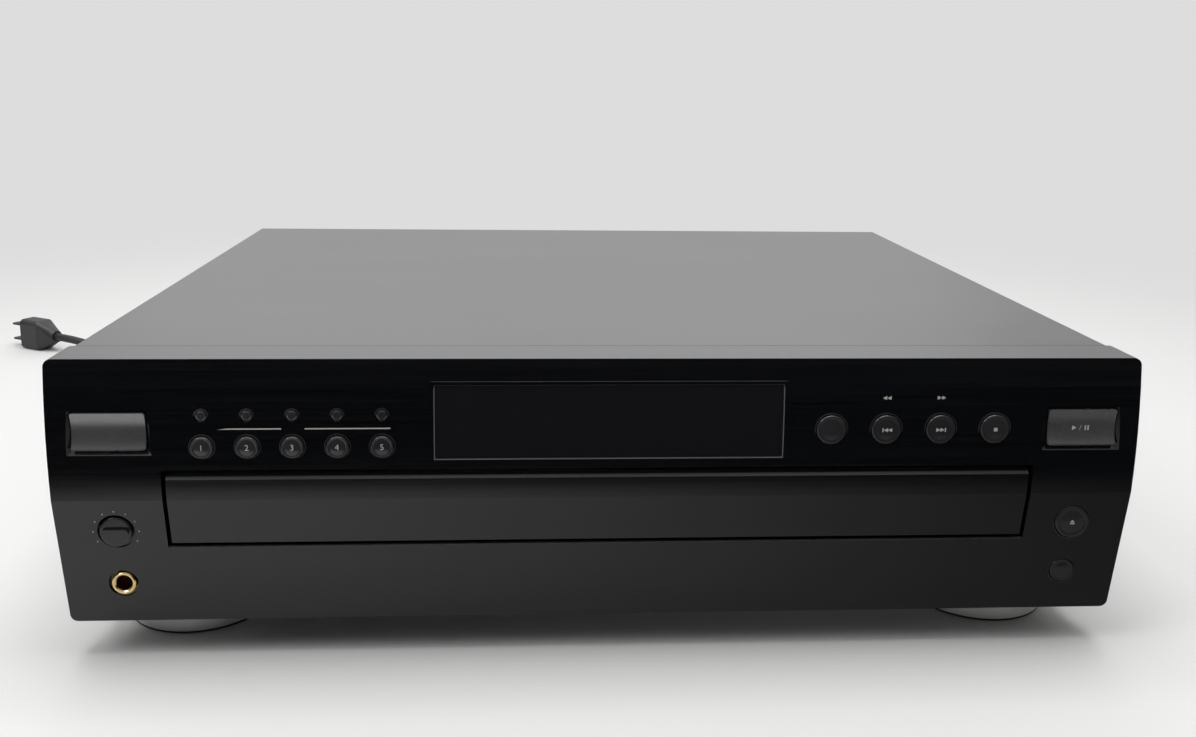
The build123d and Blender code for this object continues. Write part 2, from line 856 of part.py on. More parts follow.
with BuildPart() as front_boards:
    with BuildSketch(facing(front_board_setback + board)):
        with Locations((0, front_board_bottom)):
            Rectangle(
                front_board_width, front_board_top - front_board_bottom, align=(Align.CENTER, Align.MIN)
            )
    extrude(amount=board)
    with BuildSketch(facing(front_board_setback)):
        with Locations(*front_switch_places):
            Rectangle(switch_size, switch_size)
    extrude(amount=switch_depth)
    with BuildSketch(facing(right_board_setback + board)):
        with Locations((side_x, side_board_bottom)):
            Rectangle(side_board_width, side_board_height, align=(Align.CENTER, Align.MIN))
    extrude(amount=board)
    with BuildSketch(facing(right_board_setback)):
        with Locations(open_button_place, exchange_button_place):
            Rectangle(switch_size, switch_size)
    extrude(amount=switch_depth)
    with BuildSketch(facing(left_board_setback + board)):
        with Locations((-side_x, side_board_bottom)):
            Rectangle(side_board_width, side_board_height, align=(Align.CENTER, Align.MIN))
    extrude(amount=board)
    with BuildSketch(facing(left_board_setback)):
        with Locations(knob_place):
            Rectangle(pot_size, pot_size)
            Circle(knob_stem_radius + running_gap, mode=Mode.SUBTRACT)
    extrude(amount=left_board_setback - pot_front)
finish(front_boards, "front_boards")

with BuildPart() as display_tube:
    with BuildSketch(facing(front_board_setback)):
        with Locations((window_x, window_z)):
            Rectangle(tube_width, tube_height)
    extrude(amount=tube_depth)
    fillet(display_tube.edges().filter_by(Axis.Y), radius=2.0)
finish(display_tube, "display_tube")

main_board_top = main_board_bottom + board
board_tab_width = 48.0
board_tab_depth = 24.0
standoff_radius = 3.5
standoff_places = [
    (x, front_y + main_board_front + y)
    for x in (-main_board_width / 2 + 8, main_board_width / 2 - 8)
    for y in (8, main_board_depth - 8)
]
capacitor_places = [(-120.0, 50.0), (-100.0, 50.0), (-120.0, 78.0), (-96.0, 82.0)]
chip_places = [(-30.0, 60.0), (30.0, 60.0), (80.0, 96.0)]
capacitor_radius = 6.5
capacitor_height = 14.0
chip_size = (26.0, 12.0)
chip_height = 4.0

with BuildPart() as main_board:
    with BuildSketch(level(main_board_bottom)):
        with Locations((0, front_y + main_board_front)):
            Rectangle(main_board_width, main_board_depth, align=(Align.CENTER, Align.MIN))
        with Locations((main_board_width / 2, front_y + main_board_front)):
            Rectangle(board_tab_width, board_tab_depth, align=(Align.MIN, Align.MIN))
    extrude(amount=board)
    with BuildSketch(level(base_top)):
        with Locations(*standoff_places):
            Circle(standoff_radius)
    extrude(amount=main_board_bottom - base_top)
    with BuildSketch(level(main_board_top)):
        for x, y in capacitor_places:
            with Locations((x, front_y + main_board_front + y)):
                Circle(capacitor_radius)
    extrude(amount=capacitor_height)
    with BuildSketch(level(main_board_top)):
        for x, y in chip_places:
            with Locations((x, front_y + main_board_front + y)):
                Rectangle(*chip_size)
    extrude(amount=chip_height)
finish(main_board, "main_board")

ribbon_setback = right_board_setback + board + fit_gap
ribbon_top = front_board_bottom + 8.0
ribbon_x = side_x
ribbon_reach = main_board_front + 10.0
ribbon_bend = 3.0

with BuildPart() as ribbon_cable:
    with BuildSketch(Plane.YZ.offset(ribbon_x)):
        with BuildLine():
            FilletPolyline(
                (front_y + front_board_setback + board + ribbon / 2, ribbon_top),
                (front_y + front_board_setback + board + ribbon / 2, front_board_bottom - 3),
                (front_y + ribbon_setback + ribbon / 2, front_board_bottom - 6),
                (front_y + ribbon_setback + ribbon / 2, main_board_top + ribbon_bend * 2),
                (front_y + ribbon_setback + ribbon_bend * 3, main_board_top + ribbon / 2),
                (front_y + ribbon_reach, main_board_top + ribbon / 2),
                radius=(1.5, 1.5, ribbon_bend, ribbon_bend),
            )
            offset(amount=ribbon / 2, side=Side.BOTH)
        make_face()
    extrude(amount=ribbon_width / 2, both=True)
finish(ribbon_cable, "ribbon_cable")

# ---------------------------------------------------------------- loader frame
rail_inner = rack_line_x + addendum * rack_module + fit_gap
rail_outer = rail_inner + rail_wall
ledge_inner = drawer_half - 6.0
rail_top = runner_bottom + runner_height + fit_gap + rail_wall
leg_places = [
    (side * x, front_y + setback)
    for side in (-1, 1)
    for x, setback in ((166.0, 40.0), (168.0, 215.0), (168.0, 346.0))
]
motor_window_radius = deck_motor_radius + 1.5
sled_gear_radius = sled_gear_teeth * sled_gear_module / 2
sled_half = sled_width / 2
sled_rack_x = sled_half + 1.8
sled_gear_x = sled_rack_x + sled_gear_radius
sled_gear_y = spindle_y + lens_start - lens_inset + sled_length / 2 + sled_travel / 2
lift_gear_radius = lift_gear_teeth * stage_module / 2
cam_travel = deck_lift * cam_ratio
cam_y = front_y + cam_setback
cam_slot_half = cam_thickness / 2 + 0.8
stop_wall = 2.0
bridge_foot = 14.0
gear_pin_height = 16.0
guide_post_height = 25.0
cam_lip = 1.5
gear_deck_depth = 95.0  # the frame's extension under the drawer's gears, from the frame's front
floor_hole = (250.0, 120.0)  # in the frame's plate, under the carousel
lift_motor_back = cam_setback - 2.0
bracket = 1.4

with BuildPart() as loader_frame:
    with BuildSketch(level(frame_bottom)):
        with Locations((0, front_y + frame_front)):
            Rectangle(2 * rail_outer, frame_back - frame_front, align=(Align.CENTER, Align.MIN))
        with Locations((rail_outer, front_y + frame_front)):
            Rectangle(frame_reach - rail_outer, gear_deck_depth, align=(Align.MIN, Align.MIN))
        with Locations((0, spindle_y)):
            Rectangle(2 * (bridge_x + bridge_foot), bridge_width)
        with Locations((0, carousel_y - floor_hole[1] / 2)):
            Rectangle(*floor_hole, mode=Mode.SUBTRACT)
        with Locations((motor_x, motor_y)):
            Circle(motor_shaft_radius + 2, mode=Mode.SUBTRACT)
        with Locations((sled_gear_x, sled_gear_y)):
            Circle(motor_window_radius, mode=Mode.SUBTRACT)
        with Locations(((cam_rack_left + cam_rack_right + cam_travel) / 2, cam_y + cam_thickness / 2)):
            Rectangle(
                cam_rack_right - cam_rack_left + cam_travel + 8, 2 * cam_slot_half, mode=Mode.SUBTRACT
            )
    extrude(amount=frame_plate)
    with BuildSketch(level(base_top)):
        with Locations(*leg_places):
            Circle(leg_radius)
    extrude(amount=frame_bottom - base_top)
    for side in (-1, 1):
        with BuildSketch(facing(frame_back)):
            with BuildLine():
                Polyline(
                    (side * ledge_inner, frame_top),
                    (side * ledge_inner, drawer_floor_bottom - fit_gap),
                    (side * (drawer_half + fit_gap), drawer_floor_bottom - fit_gap),
                    (side * (drawer_half + fit_gap), runner_bottom - fit_gap),
                    (side * rail_inner, runner_bottom - fit_gap),
                    (side * rail_inner, rail_top - rail_wall),
                    (side * (drawer_half + fit_gap), rail_top - rail_wall),
                    (side * (drawer_half + fit_gap), rail_top),
                    (side * rail_outer, rail_top),
                    (side * rail_outer, frame_top),
                    close=True,
                )
            make_face()
        extrude(amount=frame_back - frame_front)
    with BuildSketch(level(frame_top)):
        with Locations((rail_inner - 4, pinion_y)):
            Rectangle(2 * rail_wall + 16, 2 * stage_distance + 12)
        with Locations((rail_outer, motor_y)):
            Rectangle(2 * rail_wall, 20)
    extrude(amount=rail_top - frame_top + 1, mode=Mode.SUBTRACT)
    with BuildSketch(level(frame_top)):
        with Locations((pinion_x, pinion_y), (loading_gear_x, loading_gear_y)):
            Circle(gear_pin_radius)
    extrude(amount=gear_pin_height)
    with BuildSketch(level(frame_top)):
        for x in (-guide_post_x, guide_post_x):
            for setback in guide_post_setbacks:
                with Locations((x, front_y + setback)):
                    Circle(guide_post_radius)
    extrude(amount=guide_post_height)
    with BuildSketch(level(frame_top)):
        with Locations((0, cam_y - fit_gap - stop_wall / 2)):
            Rectangle(mech_gap_width - 4, stop_wall)
    extrude(amount=cam_top + fit_gap + cam_lip - frame_top)
    with BuildSketch(level(cam_top + fit_gap)):
        with Locations((0, cam_y + cam_thickness / 2)):
            Rectangle(mech_gap_width - 4, cam_thickness + 2 * fit_gap)
    extrude(amount=cam_lip)
    with BuildSketch(level(frame_bottom)):
        with Locations((0, front_y + lift_motor_back + bracket / 2)):
            Rectangle(2 * motor_radius + 8, bracket)
    extrude(amount=lift_gear_axis - motor_radius - frame_bottom)
    with BuildSketch(facing(lift_motor_back + bracket)):
        with Locations((0, lift_gear_axis)):
            Circle(motor_shaft_radius + 1)
    extrude(amount=bracket, mode=Mode.SUBTRACT)
finish(loader_frame, "loader_frame")

# ---------------------------------------------------------------- drawer and carousel
rack_tooth_count = ceil((drawer_travel + 30) / (pi * rack_module))
rack_start_y = pinion_y - pi * rack_module * 3
rack_plane = Plane((rack_line_x, rack_start_y, runner_bottom), x_dir=(0, 1, 0), z_dir=(0, 0, 1))
carousel_gear_radius = carousel_gear_teeth * ring_module / 2
ring_radius = ring_teeth * ring_module / 2
carousel_gear_distance = ring_radius + carousel_gear_radius
carousel_gear_angle = radians(180)
carousel_gear_x = carousel_gear_distance * cos(carousel_gear_angle)
carousel_gear_y = carousel_y + carousel_gear_distance * sin(carousel_gear_angle)
carousel_motor_height = 8.5

with BuildPart() as drawer:
    with BuildSketch(level(drawer_floor_bottom)):
        with Locations((0, front_y + drawer_front_back)):
            Rectangle(
                2 * drawer_half, drawer_back_setback - drawer_front_back, align=(Align.CENTER, Align.MIN)
            )
    extrude(amount=drawer_wall_top - drawer_floor_bottom)
    with BuildSketch(level(drawer_floor_top)):
        with Locations((0, front_y + drawer_front_back + drawer_wall)):
            Rectangle(
                2 * drawer_inner_half,
                drawer_back_setback - drawer_front_back - 2 * drawer_wall,
                align=(Align.CENTER, Align.MIN),
            )
    extrude(amount=drawer_wall_top, mode=Mode.SUBTRACT)
    with BuildSketch(level(drawer_floor_top)):
        with Locations((0, carousel_y)):
            Circle(rib_radius + rib_width / 2)
            Circle(rib_radius - rib_width / 2, mode=Mode.SUBTRACT)
    extrude(amount=carousel_bottom - fit_gap - drawer_floor_top)
    with BuildSketch(level(drawer_floor_top)):
        with Locations((0, carousel_y)):
            Circle(hub_post_radius)
    extrude(amount=carousel_top + fit_gap - drawer_floor_top)
    for side in (-1, 1):
        with BuildSketch(level(runner_bottom)):
            with Locations((side * (drawer_half + runner_width / 2 - 1), front_y + drawer_front_back + 20)):
                Rectangle(
                    runner_width - 2 + 1,
                    drawer_back_setback - drawer_front_back - 20,
                    align=(Align.CENTER, Align.MIN),
                )
        extrude(amount=runner_height)
    with BuildSketch(rack_plane):
        with BuildLine():
            rack_points = rack_outline(rack_tooth_count, rack_module, runner_width)
            Polyline(*[(x, -y) for x, y in rack_points], close=True)
        make_face()
    extrude(amount=runner_height)
    with BuildSketch(level(drawer_floor_bottom)):
        with Locations((0, front_y + mech_gap_front)):
            Rectangle(mech_gap_width, body_depth, align=(Align.CENTER, Align.MIN))
    extrude(amount=drawer_wall_top, mode=Mode.SUBTRACT)
finish(drawer, "drawer")

well_places = [
    (well_circle_radius * cos(radians(90 + 360 / disc_count * i)),
     well_circle_radius * sin(radians(90 + 360 / disc_count * i)))
    for i in range(disc_count)
]
hub_bore = hub_post_radius + running_gap
hub_length = carousel_bottom - drawer_floor_top - fit_gap

with BuildPart() as carousel:
    with BuildSketch(level(carousel_bottom)):
        with Locations((0, carousel_y)):
            Circle(carousel_radius)
    extrude(amount=carousel_thickness)
    for well_x, well_y in well_places:
        with BuildSketch(level(carousel_top - well_depth)):
            with Locations((well_x, carousel_y + well_y)):
                Circle(disc_radius + well_clearance)
        extrude(amount=well_depth, mode=Mode.SUBTRACT)
        with BuildSketch(level(carousel_top - well_depth - small_disc_depth)):
            with Locations((well_x, carousel_y + well_y)):
                Circle(small_disc_radius)
        extrude(amount=small_disc_depth, mode=Mode.SUBTRACT)
    with BuildSketch(level(carousel_bottom)):
        for well in range(disc_count):
            angle = 90 + 360 / disc_count * well
            reach = carousel_radius - well_circle_radius + well_slot_width
            slot_plane = Location((well_places[well][0], carousel_y + well_places[well][1]), angle)
            with Locations(slot_plane):
                Circle(well_slot_width / 2)
                Rectangle(reach, well_slot_width, align=(Align.MIN, Align.CENTER))
    extrude(amount=carousel_thickness, mode=Mode.SUBTRACT)
    with BuildSketch(level(carousel_bottom - ring_depth)):
        with Locations((0, carousel_y)):
            add(outline_face(gear_outline(ring_teeth, ring_module)))
            Circle(ring_radius - 4 * ring_module, mode=Mode.SUBTRACT)
    extrude(amount=ring_depth)
    with BuildSketch(level(carousel_bottom - hub_length)):
        with Locations((0, carousel_y)):
            Circle(hub_post_radius + hub_wall)
    extrude(amount=hub_length)
    with BuildSketch(level(drawer_floor_top)):
        with Locations((0, carousel_y)):
            Circle(hub_bore)
    extrude(amount=carousel_top, mode=Mode.SUBTRACT)
finish(carousel, "carousel")

with BuildPart() as carousel_cap:
    with BuildSketch(level(carousel_top + fit_gap)):
        with Locations((0, carousel_y)):
            Circle(cap_radius)
    extrude(amount=cap_height)
    cap_rim = carousel_cap.edges().filter_by(GeomType.CIRCLE).sort_by(Axis.Z)[-1]
    fillet(cap_rim, radius=1.6)
finish(carousel_cap, "carousel_cap")

carousel_motor_top = drawer_floor_top + carousel_motor_height
carousel_gear_bottom = carousel_motor_top + 0.8
carousel_gear_top = carousel_bottom - 0.8

with BuildPart() as carousel_motor:
    with BuildSketch(level(drawer_floor_top)):
        with Locations((carousel_gear_x, carousel_gear_y)):
            Circle(motor_radius)
    extrude(amount=carousel_motor_height)
    with BuildSketch(level(carousel_motor_top)):
        with Locations((carousel_gear_x, carousel_gear_y)):
            Circle(motor_shaft_radius)
    extrude(amount=carousel_gear_top - carousel_motor_top)
finish(carousel_motor, "carousel_motor")

carousel_gear_turn = degrees(carousel_gear_angle) + 180 + 180 / carousel_gear_teeth
with BuildPart() as carousel_gear:
    with BuildSketch(level(carousel_gear_bottom)):
        with Locations((carousel_gear_x, carousel_gear_y)):
            add(outline_face(gear_outline(carousel_gear_teeth, ring_module, carousel_gear_turn)))
            Circle(motor_shaft_radius + running_gap, mode=Mode.SUBTRACT)
    extrude(amount=carousel_gear_top - carousel_gear_bottom)
finish(carousel_gear, "carousel_gear")

# ---------------------------------------------------------------- drawer drive

def dc_motor(plane, shaft_length):
    """A small round motor behind the plane, its shaft standing out of it."""
    with BuildPart(mode=Mode.PRIVATE) as motor:
        with BuildSketch(plane):
            Circle(motor_radius)
        extrude(amount=-motor_length)
        with BuildSketch(plane):
            Circle(motor_shaft_radius)
        extrude(amount=shaft_length)
    return motor.part


large_gear_bottom = frame_top + 1.0
large_gear_top = large_gear_bottom + stage_gear_height
pulley_bottom = large_gear_top + 0.6
pulley_top = pulley_bottom + pulley_height
lift_motor_plane = Plane((0, front_y + lift_motor_back, lift_gear_axis), z_dir=(0, 1, 0))
loading_motor_plane = Plane((motor_x, motor_y, frame_bottom), z_dir=(0, 0, 1))
lift_shaft_length = cam_setback - lift_motor_back + cam_thickness

with BuildPart() as loading_motors:
    add(dc_motor(loading_motor_plane, pulley_top - frame_bottom))
    add(dc_motor(lift_motor_plane, lift_shaft_length))
finish(loading_motors, "loading_motors")


def pulley(block_radius, bottom):
    """A grooved pulley's outline in the plane of its axis, for revolving about the Z axis."""
    groove = belt
    top = bottom + pulley_height
    with BuildSketch(Plane.XZ) as outline:
        with BuildLine():
            Polyline(
                (0, bottom),
                (block_radius, bottom),
                (block_radius - groove, bottom + pulley_height * 0.2),
                (block_radius - groove, top - pulley_height * 0.2),
                (block_radius, top),
                (0, top),
                close=True,
            )
        make_face()
    return outline.sketch


with BuildPart() as pulley_blank:
    add(pulley(belt_pulley_radius, pulley_bottom))
    revolve(axis=Axis.Z)

with BuildPart() as motor_pulley_blank:
    add(pulley(motor_pulley_radius, pulley_bottom))
    revolve(axis=Axis.Z)

with BuildPart() as motor_pulley:
    with Locations((motor_x, motor_y, 0)):
        add(motor_pulley_blank.part)
    with BuildSketch(level(pulley_bottom)):
        with Locations((motor_x, motor_y)):
            Circle(motor_shaft_radius + running_gap)
    extrude(amount=pulley_height, mode=Mode.SUBTRACT)
finish(motor_pulley, "motor_pulley")

loading_gear_turn = degrees(stage_angle) + 180 + 180 / small_teeth
with BuildPart() as loading_gear:
    with Locations((loading_gear_x, loading_gear_y, 0)):
        add(pulley_blank.part)
    with BuildSketch(level(large_gear_bottom)):
        with Locations((loading_gear_x, loading_gear_y)):
            add(outline_face(gear_outline(small_teeth, stage_module, loading_gear_turn)))
    extrude(amount=pulley_bottom - large_gear_bottom)
    with BuildSketch(level(large_gear_bottom)):
        with Locations((loading_gear_x, loading_gear_y)):
            Circle(gear_pin_radius + running_gap)
    extrude(amount=pulley_top - large_gear_bottom, mode=Mode.SUBTRACT)
finish(loading_gear, "loading_gear")

with BuildPart() as drive_pinion:
    with BuildSketch(level(large_gear_bottom)):
        with Locations((pinion_x, pinion_y)):
            add(outline_face(gear_outline(large_teeth, stage_module, degrees(stage_angle))))
    extrude(amount=stage_gear_height)
    with BuildSketch(level(large_gear_top)):
        with Locations((pinion_x, pinion_y)):
            Circle(gear_pin_radius + 2)
    extrude(amount=runner_bottom - large_gear_top)
    with BuildSketch(level(runner_bottom)):
        with Locations((pinion_x, pinion_y)):
            add(outline_face(gear_outline(pinion_teeth, rack_module, 180 + 180 / pinion_teeth)))
    extrude(amount=runner_height)
    with BuildSketch(level(large_gear_bottom)):
        with Locations((pinion_x, pinion_y)):
            Circle(gear_pin_radius + running_gap)
    extrude(amount=runner_bottom + runner_height, mode=Mode.SUBTRACT)
finish(drive_pinion, "drive_pinion")

belt_middle = (pulley_bottom + pulley_top) / 2
belt_gap = 0.15


def belt_loop(grow):
    """The belt's outline in plan, grown outwards from the pulleys' grooves by grow."""
    big = belt_pulley_radius - belt + grow
    small = motor_pulley_radius - belt + grow
    tilt = acos((big - small) / motor_offset)
    big_side = [(loading_gear_x + big * s * sin(tilt), loading_gear_y + big * cos(tilt)) for s in (1, -1)]
    small_side = [(motor_x + small * s * sin(tilt), motor_y + small * cos(tilt)) for s in (1, -1)]
    with BuildSketch(Plane.XY, mode=Mode.PRIVATE) as outline:
        with BuildLine():
            Line(big_side[0], small_side[0])
            ThreePointArc(small_side[0], (motor_x, motor_y + small), small_side[1])
            Line(small_side[1], big_side[1])
            ThreePointArc(big_side[1], (loading_gear_x, loading_gear_y - big), big_side[0])
        make_face()
    return outline.sketch


with BuildPart() as loading_belt:
    with BuildSketch(level(belt_middle - belt / 2)):
        add(belt_loop(belt_gap + belt))
    extrude(amount=belt)
    with BuildSketch(level(belt_middle - belt / 2)):
        add(belt_loop(belt_gap))
    extrude(amount=belt, mode=Mode.SUBTRACT)
finish(loading_belt, "loading_belt")

# ---------------------------------------------------------------- playback mechanism
deck_bottom = spindle_height - deck_drop
deck_top = deck_bottom + deck_plate
sled_bottom = spindle_height - sled_drop
sled_top = sled_bottom + sled_height
rod_height = spindle_height - rod_drop
spindle_motor_bottom = deck_top + 1.5
spindle_motor_top = spindle_motor_bottom + deck_motor_height
sled_front_y = spindle_y + lens_start - lens_inset
rod_front_y = spindle_y + lens_start - lens_inset - 2.5
rod_back_y = front_y + deck_back - 1.5
sled_window_front = sled_front_y - 1.0
sled_window_back = sled_front_y + sled_length + sled_travel + 1.0
deck_y = front_y + deck_front

with BuildPart() as pickup_deck:
    with BuildSketch(level(deck_bottom)):
        with Locations((0, deck_y)):
            Rectangle(deck_width, deck_back - deck_front, align=(Align.CENTER, Align.MIN))
        with Locations((0, sled_window_front)):
            Rectangle(
                rod_spacing - 8, sled_window_back - sled_window_front, align=(Align.CENTER, Align.MIN),
                mode=Mode.SUBTRACT,
            )
        for x in (-guide_post_x, guide_post_x):
            for setback in guide_post_setbacks:
                with Locations((x, front_y + setback)):
                    Circle(guide_post_radius + running_gap, mode=Mode.SUBTRACT)
        with Locations((sled_gear_x, sled_gear_y)):
            Circle(motor_shaft_radius + 1, mode=Mode.SUBTRACT)
    extrude(amount=deck_plate)
    with BuildSketch(level(deck_bottom)):
        with Locations((0, deck_y)):
            Rectangle(deck_width, deck_plate, align=(Align.CENTER, Align.MIN))
    extrude(amount=cam_pin_height + 2 * cam_pin_radius - deck_bottom)
    with BuildSketch(facing(deck_front)):
        with Locations((-cam_pin_x, cam_pin_height), (cam_pin_x, cam_pin_height)):
            Circle(cam_pin_radius)
    extrude(amount=deck_front - cam_setback)
    with BuildSketch(level(deck_top)):
        with Locations((0, spindle_y)):
            Circle(deck_motor_radius)
    extrude(amount=spindle_motor_bottom - deck_top)
    for x in (-rod_spacing / 2, rod_spacing / 2):
        for y in (rod_front_y, rod_back_y):
            with BuildSketch(level(deck_top)):
                with Locations((x, y)):
                    Rectangle(2 * rod_radius + 3, 3)
            extrude(amount=rod_height + rod_radius + 1 - deck_top)
            with BuildSketch(Plane.XZ.offset(-(y + 1.5))):
                with Locations((x, rod_height)):
                    Circle(rod_radius)
            extrude(amount=3, mode=Mode.SUBTRACT)
finish(pickup_deck, "pickup_deck")

with BuildPart() as guide_rods:
    with BuildSketch(Plane.XZ.offset(-(rod_back_y + 1.5))):
        with Locations((-rod_spacing / 2, rod_height), (rod_spacing / 2, rod_height)):
            Circle(rod_radius)
    extrude(amount=rod_back_y - rod_front_y + 3)
finish(guide_rods, "guide_rods")

sled_gear_bottom = sled_bottom + 1.0
with BuildPart() as deck_motors:
    with BuildSketch(level(spindle_motor_bottom)):
        with Locations((0, spindle_y)):
            Circle(deck_motor_radius)
    extrude(amount=deck_motor_height)
    with BuildSketch(level(spindle_motor_top)):
        with Locations((0, spindle_y)):
            Circle(motor_shaft_radius)
    extrude(amount=spindle_height - spindle_motor_top)
    with BuildSketch(level(deck_bottom)):
        with Locations((sled_gear_x, sled_gear_y)):
            Circle(deck_motor_radius)
    extrude(amount=-deck_motor_height)
    with BuildSketch(level(deck_bottom)):
        with Locations((sled_gear_x, sled_gear_y)):
            Circle(motor_shaft_radius)
    extrude(amount=sled_gear_bottom + sled_gear_height - deck_bottom)
finish(deck_motors, "deck_motors")

with BuildPart() as disc_table:
    with BuildSketch(level(spindle_height - table_thickness)):
        with Locations((0, spindle_y)):
            Circle(table_radius)
    extrude(amount=table_thickness)
    with BuildSketch(level(spindle_motor_top + fit_gap)):
        with Locations((0, spindle_y)):
            Circle(cone_radius - 1.5)
    extrude(amount=spindle_height - spindle_motor_top - fit_gap)
    with BuildSketch(level(spindle_height)):
        with Locations((0, spindle_y)):
            Circle(cone_radius)
    with BuildSketch(level(spindle_height + cone_height)):
        with Locations((0, spindle_y)):
            Circle(cone_radius / 2)
    loft()
    with BuildSketch(level(spindle_motor_top)):
        with Locations((0, spindle_y)):
            Circle(motor_shaft_radius + running_gap)
    extrude(amount=spindle_height + fit_gap - spindle_motor_top, mode=Mode.SUBTRACT)
finish(disc_table, "disc_table")

sled_rack_teeth = ceil((sled_travel + 8) / (pi * sled_gear_module))
sled_rack_start = sled_gear_y - pi * sled_gear_module * (sled_rack_teeth - 2)
sled_rack_plane = Plane((sled_rack_x, sled_rack_start, sled_gear_bottom), x_dir=(0, 1, 0), z_dir=(0, 0, 1))
lens_y = spindle_y + lens_start

with BuildPart() as pickup_sled:
    with BuildSketch(level(sled_bottom)):
        with Locations((0, sled_front_y)):
            Rectangle(sled_width, sled_length, align=(Align.CENTER, Align.MIN))
    extrude(amount=sled_height)
    with BuildSketch(level(sled_top)):
        with Locations((0, lens_y)):
            RectangleRounded(turret_size, turret_length, 2.0)
    extrude(amount=spindle_height - 4.0 - sled_top)
    with BuildSketch(level(spindle_height - 4.0)):
        with Locations((0, lens_y)):
            Circle(lens_radius)
    extrude(amount=2.0)
    with BuildSketch(sled_rack_plane):
        with BuildLine():
            sled_points = rack_outline(sled_rack_teeth, sled_gear_module, 1.8)
            Polyline(*[(x, -y) for x, y in sled_points], close=True)
        make_face()
    extrude(amount=sled_gear_height)
    with BuildSketch(Plane.XZ.offset(-(sled_front_y - 1))):
        with Locations((-rod_spacing / 2, rod_height), (rod_spacing / 2, rod_height)):
            Circle(rod_radius + running_gap)
    extrude(amount=-sled_length - 2, mode=Mode.SUBTRACT)
finish(pickup_sled, "pickup_sled")

with BuildPart() as sled_gear:
    with BuildSketch(level(sled_gear_bottom)):
        with Locations((sled_gear_x, sled_gear_y)):
            add(outline_face(gear_outline(sled_gear_teeth, sled_gear_module, 180 + 180 / sled_gear_teeth)))
            Circle(motor_shaft_radius + running_gap, mode=Mode.SUBTRACT)
    extrude(amount=sled_gear_height)
finish(sled_gear, "sled_gear")

cam_rack_teeth = ceil((cam_rack_right - cam_rack_left) / (pi * stage_module))
cam_rack_plane = Plane(
    (-pi * stage_module * (cam_rack_teeth - 2), cam_y + cam_thickness, lift_gear_axis + lift_gear_radius),
    x_dir=(1, 0, 0),
    z_dir=(0, -1, 0),
)
cam_rack_height = cam_bottom + 1 - lift_gear_axis - lift_gear_radius
cam_slot_half_width = cam_pin_radius + cam_slot_gap
cam_slot_length = hypot(cam_travel, deck_lift) + 2 * cam_slot_half_width + 1.0
cam_slope = degrees(atan2(deck_lift, -cam_travel))

with BuildPart() as lift_cam:
    with BuildSketch(facing(cam_setback + cam_thickness)):
        with BuildLine():
            Polyline(
                (cam_left, cam_bottom), (cam_left, cam_top), (cam_right, cam_top), (cam_right, cam_bottom),
                close=True,
            )
        make_face()
        for pin_x in (-cam_pin_x, cam_pin_x):
            with Locations((pin_x - cam_travel / 2, cam_pin_height + deck_lift / 2)):
                SlotOverall(cam_slot_length, 2 * cam_slot_half_width, rotation=cam_slope, mode=Mode.SUBTRACT)
    extrude(amount=cam_thickness)
    with BuildSketch(cam_rack_plane):
        with BuildLine():
            cam_points = rack_outline(cam_rack_teeth, stage_module, cam_rack_height)
            Polyline(*[(x, -y) for x, y in cam_points], close=True)
        make_face()
    extrude(amount=cam_thickness)
finish(lift_cam, "lift_cam")

lift_gear_plane = Plane((0, cam_y + cam_thickness, lift_gear_axis), x_dir=(1, 0, 0), z_dir=(0, -1, 0))
with BuildPart() as lift_gear:
    with BuildSketch(lift_gear_plane):
        add(outline_face(gear_outline(lift_gear_teeth, stage_module, 90 + 180 / lift_gear_teeth)))
        Circle(motor_shaft_radius + running_gap, mode=Mode.SUBTRACT)
    extrude(amount=cam_thickness)
finish(lift_gear, "lift_gear")

bridge_top = bridge_height + bridge_thickness
with BuildPart() as clamp_bridge:
    with BuildSketch(level(bridge_height)):
        with Locations((0, spindle_y)):
            Rectangle(2 * (bridge_x + bridge_thickness), bridge_width)
            Circle(clamper_neck_radius + 1, mode=Mode.SUBTRACT)
    extrude(amount=bridge_thickness)
    for side in (-1, 1):
        with BuildSketch(level(frame_top)):
            with Locations((side * (bridge_x + bridge_thickness / 2), spindle_y)):
                Rectangle(bridge_thickness, bridge_width)
        extrude(amount=bridge_height - frame_top)
        with BuildSketch(level(frame_top)):
            with Locations((side * (bridge_x + bridge_foot / 2), spindle_y)):
                Rectangle(bridge_foot, bridge_width)
        extrude(amount=bridge_thickness)
finish(clamp_bridge, "clamp_bridge")

clamper_bottom = spindle_height + deck_lift + clamper_gap
clamper_neck_top = bridge_top + fit_gap
with BuildPart() as clamper:
    with BuildSketch(level(clamper_bottom)):
        with Locations((0, spindle_y)):
            Circle(clamper_radius)
    extrude(amount=clamper_pad)
    with BuildSketch(level(clamper_bottom + clamper_pad)):
        with Locations((0, spindle_y)):
            Circle(clamper_neck_radius)
    extrude(amount=clamper_neck_top - clamper_bottom - clamper_pad)
    with BuildSketch(level(clamper_neck_top)):
        with Locations((0, spindle_y)):
            Circle(clamper_top_radius)
    extrude(amount=2.0)
    with BuildSketch(level(clamper_bottom)):
        with Locations((0, spindle_y)):
            Circle(cone_radius + 1)
    extrude(amount=cone_height - clamper_gap + 0.5, mode=Mode.SUBTRACT)
finish(clamper, "clamper")

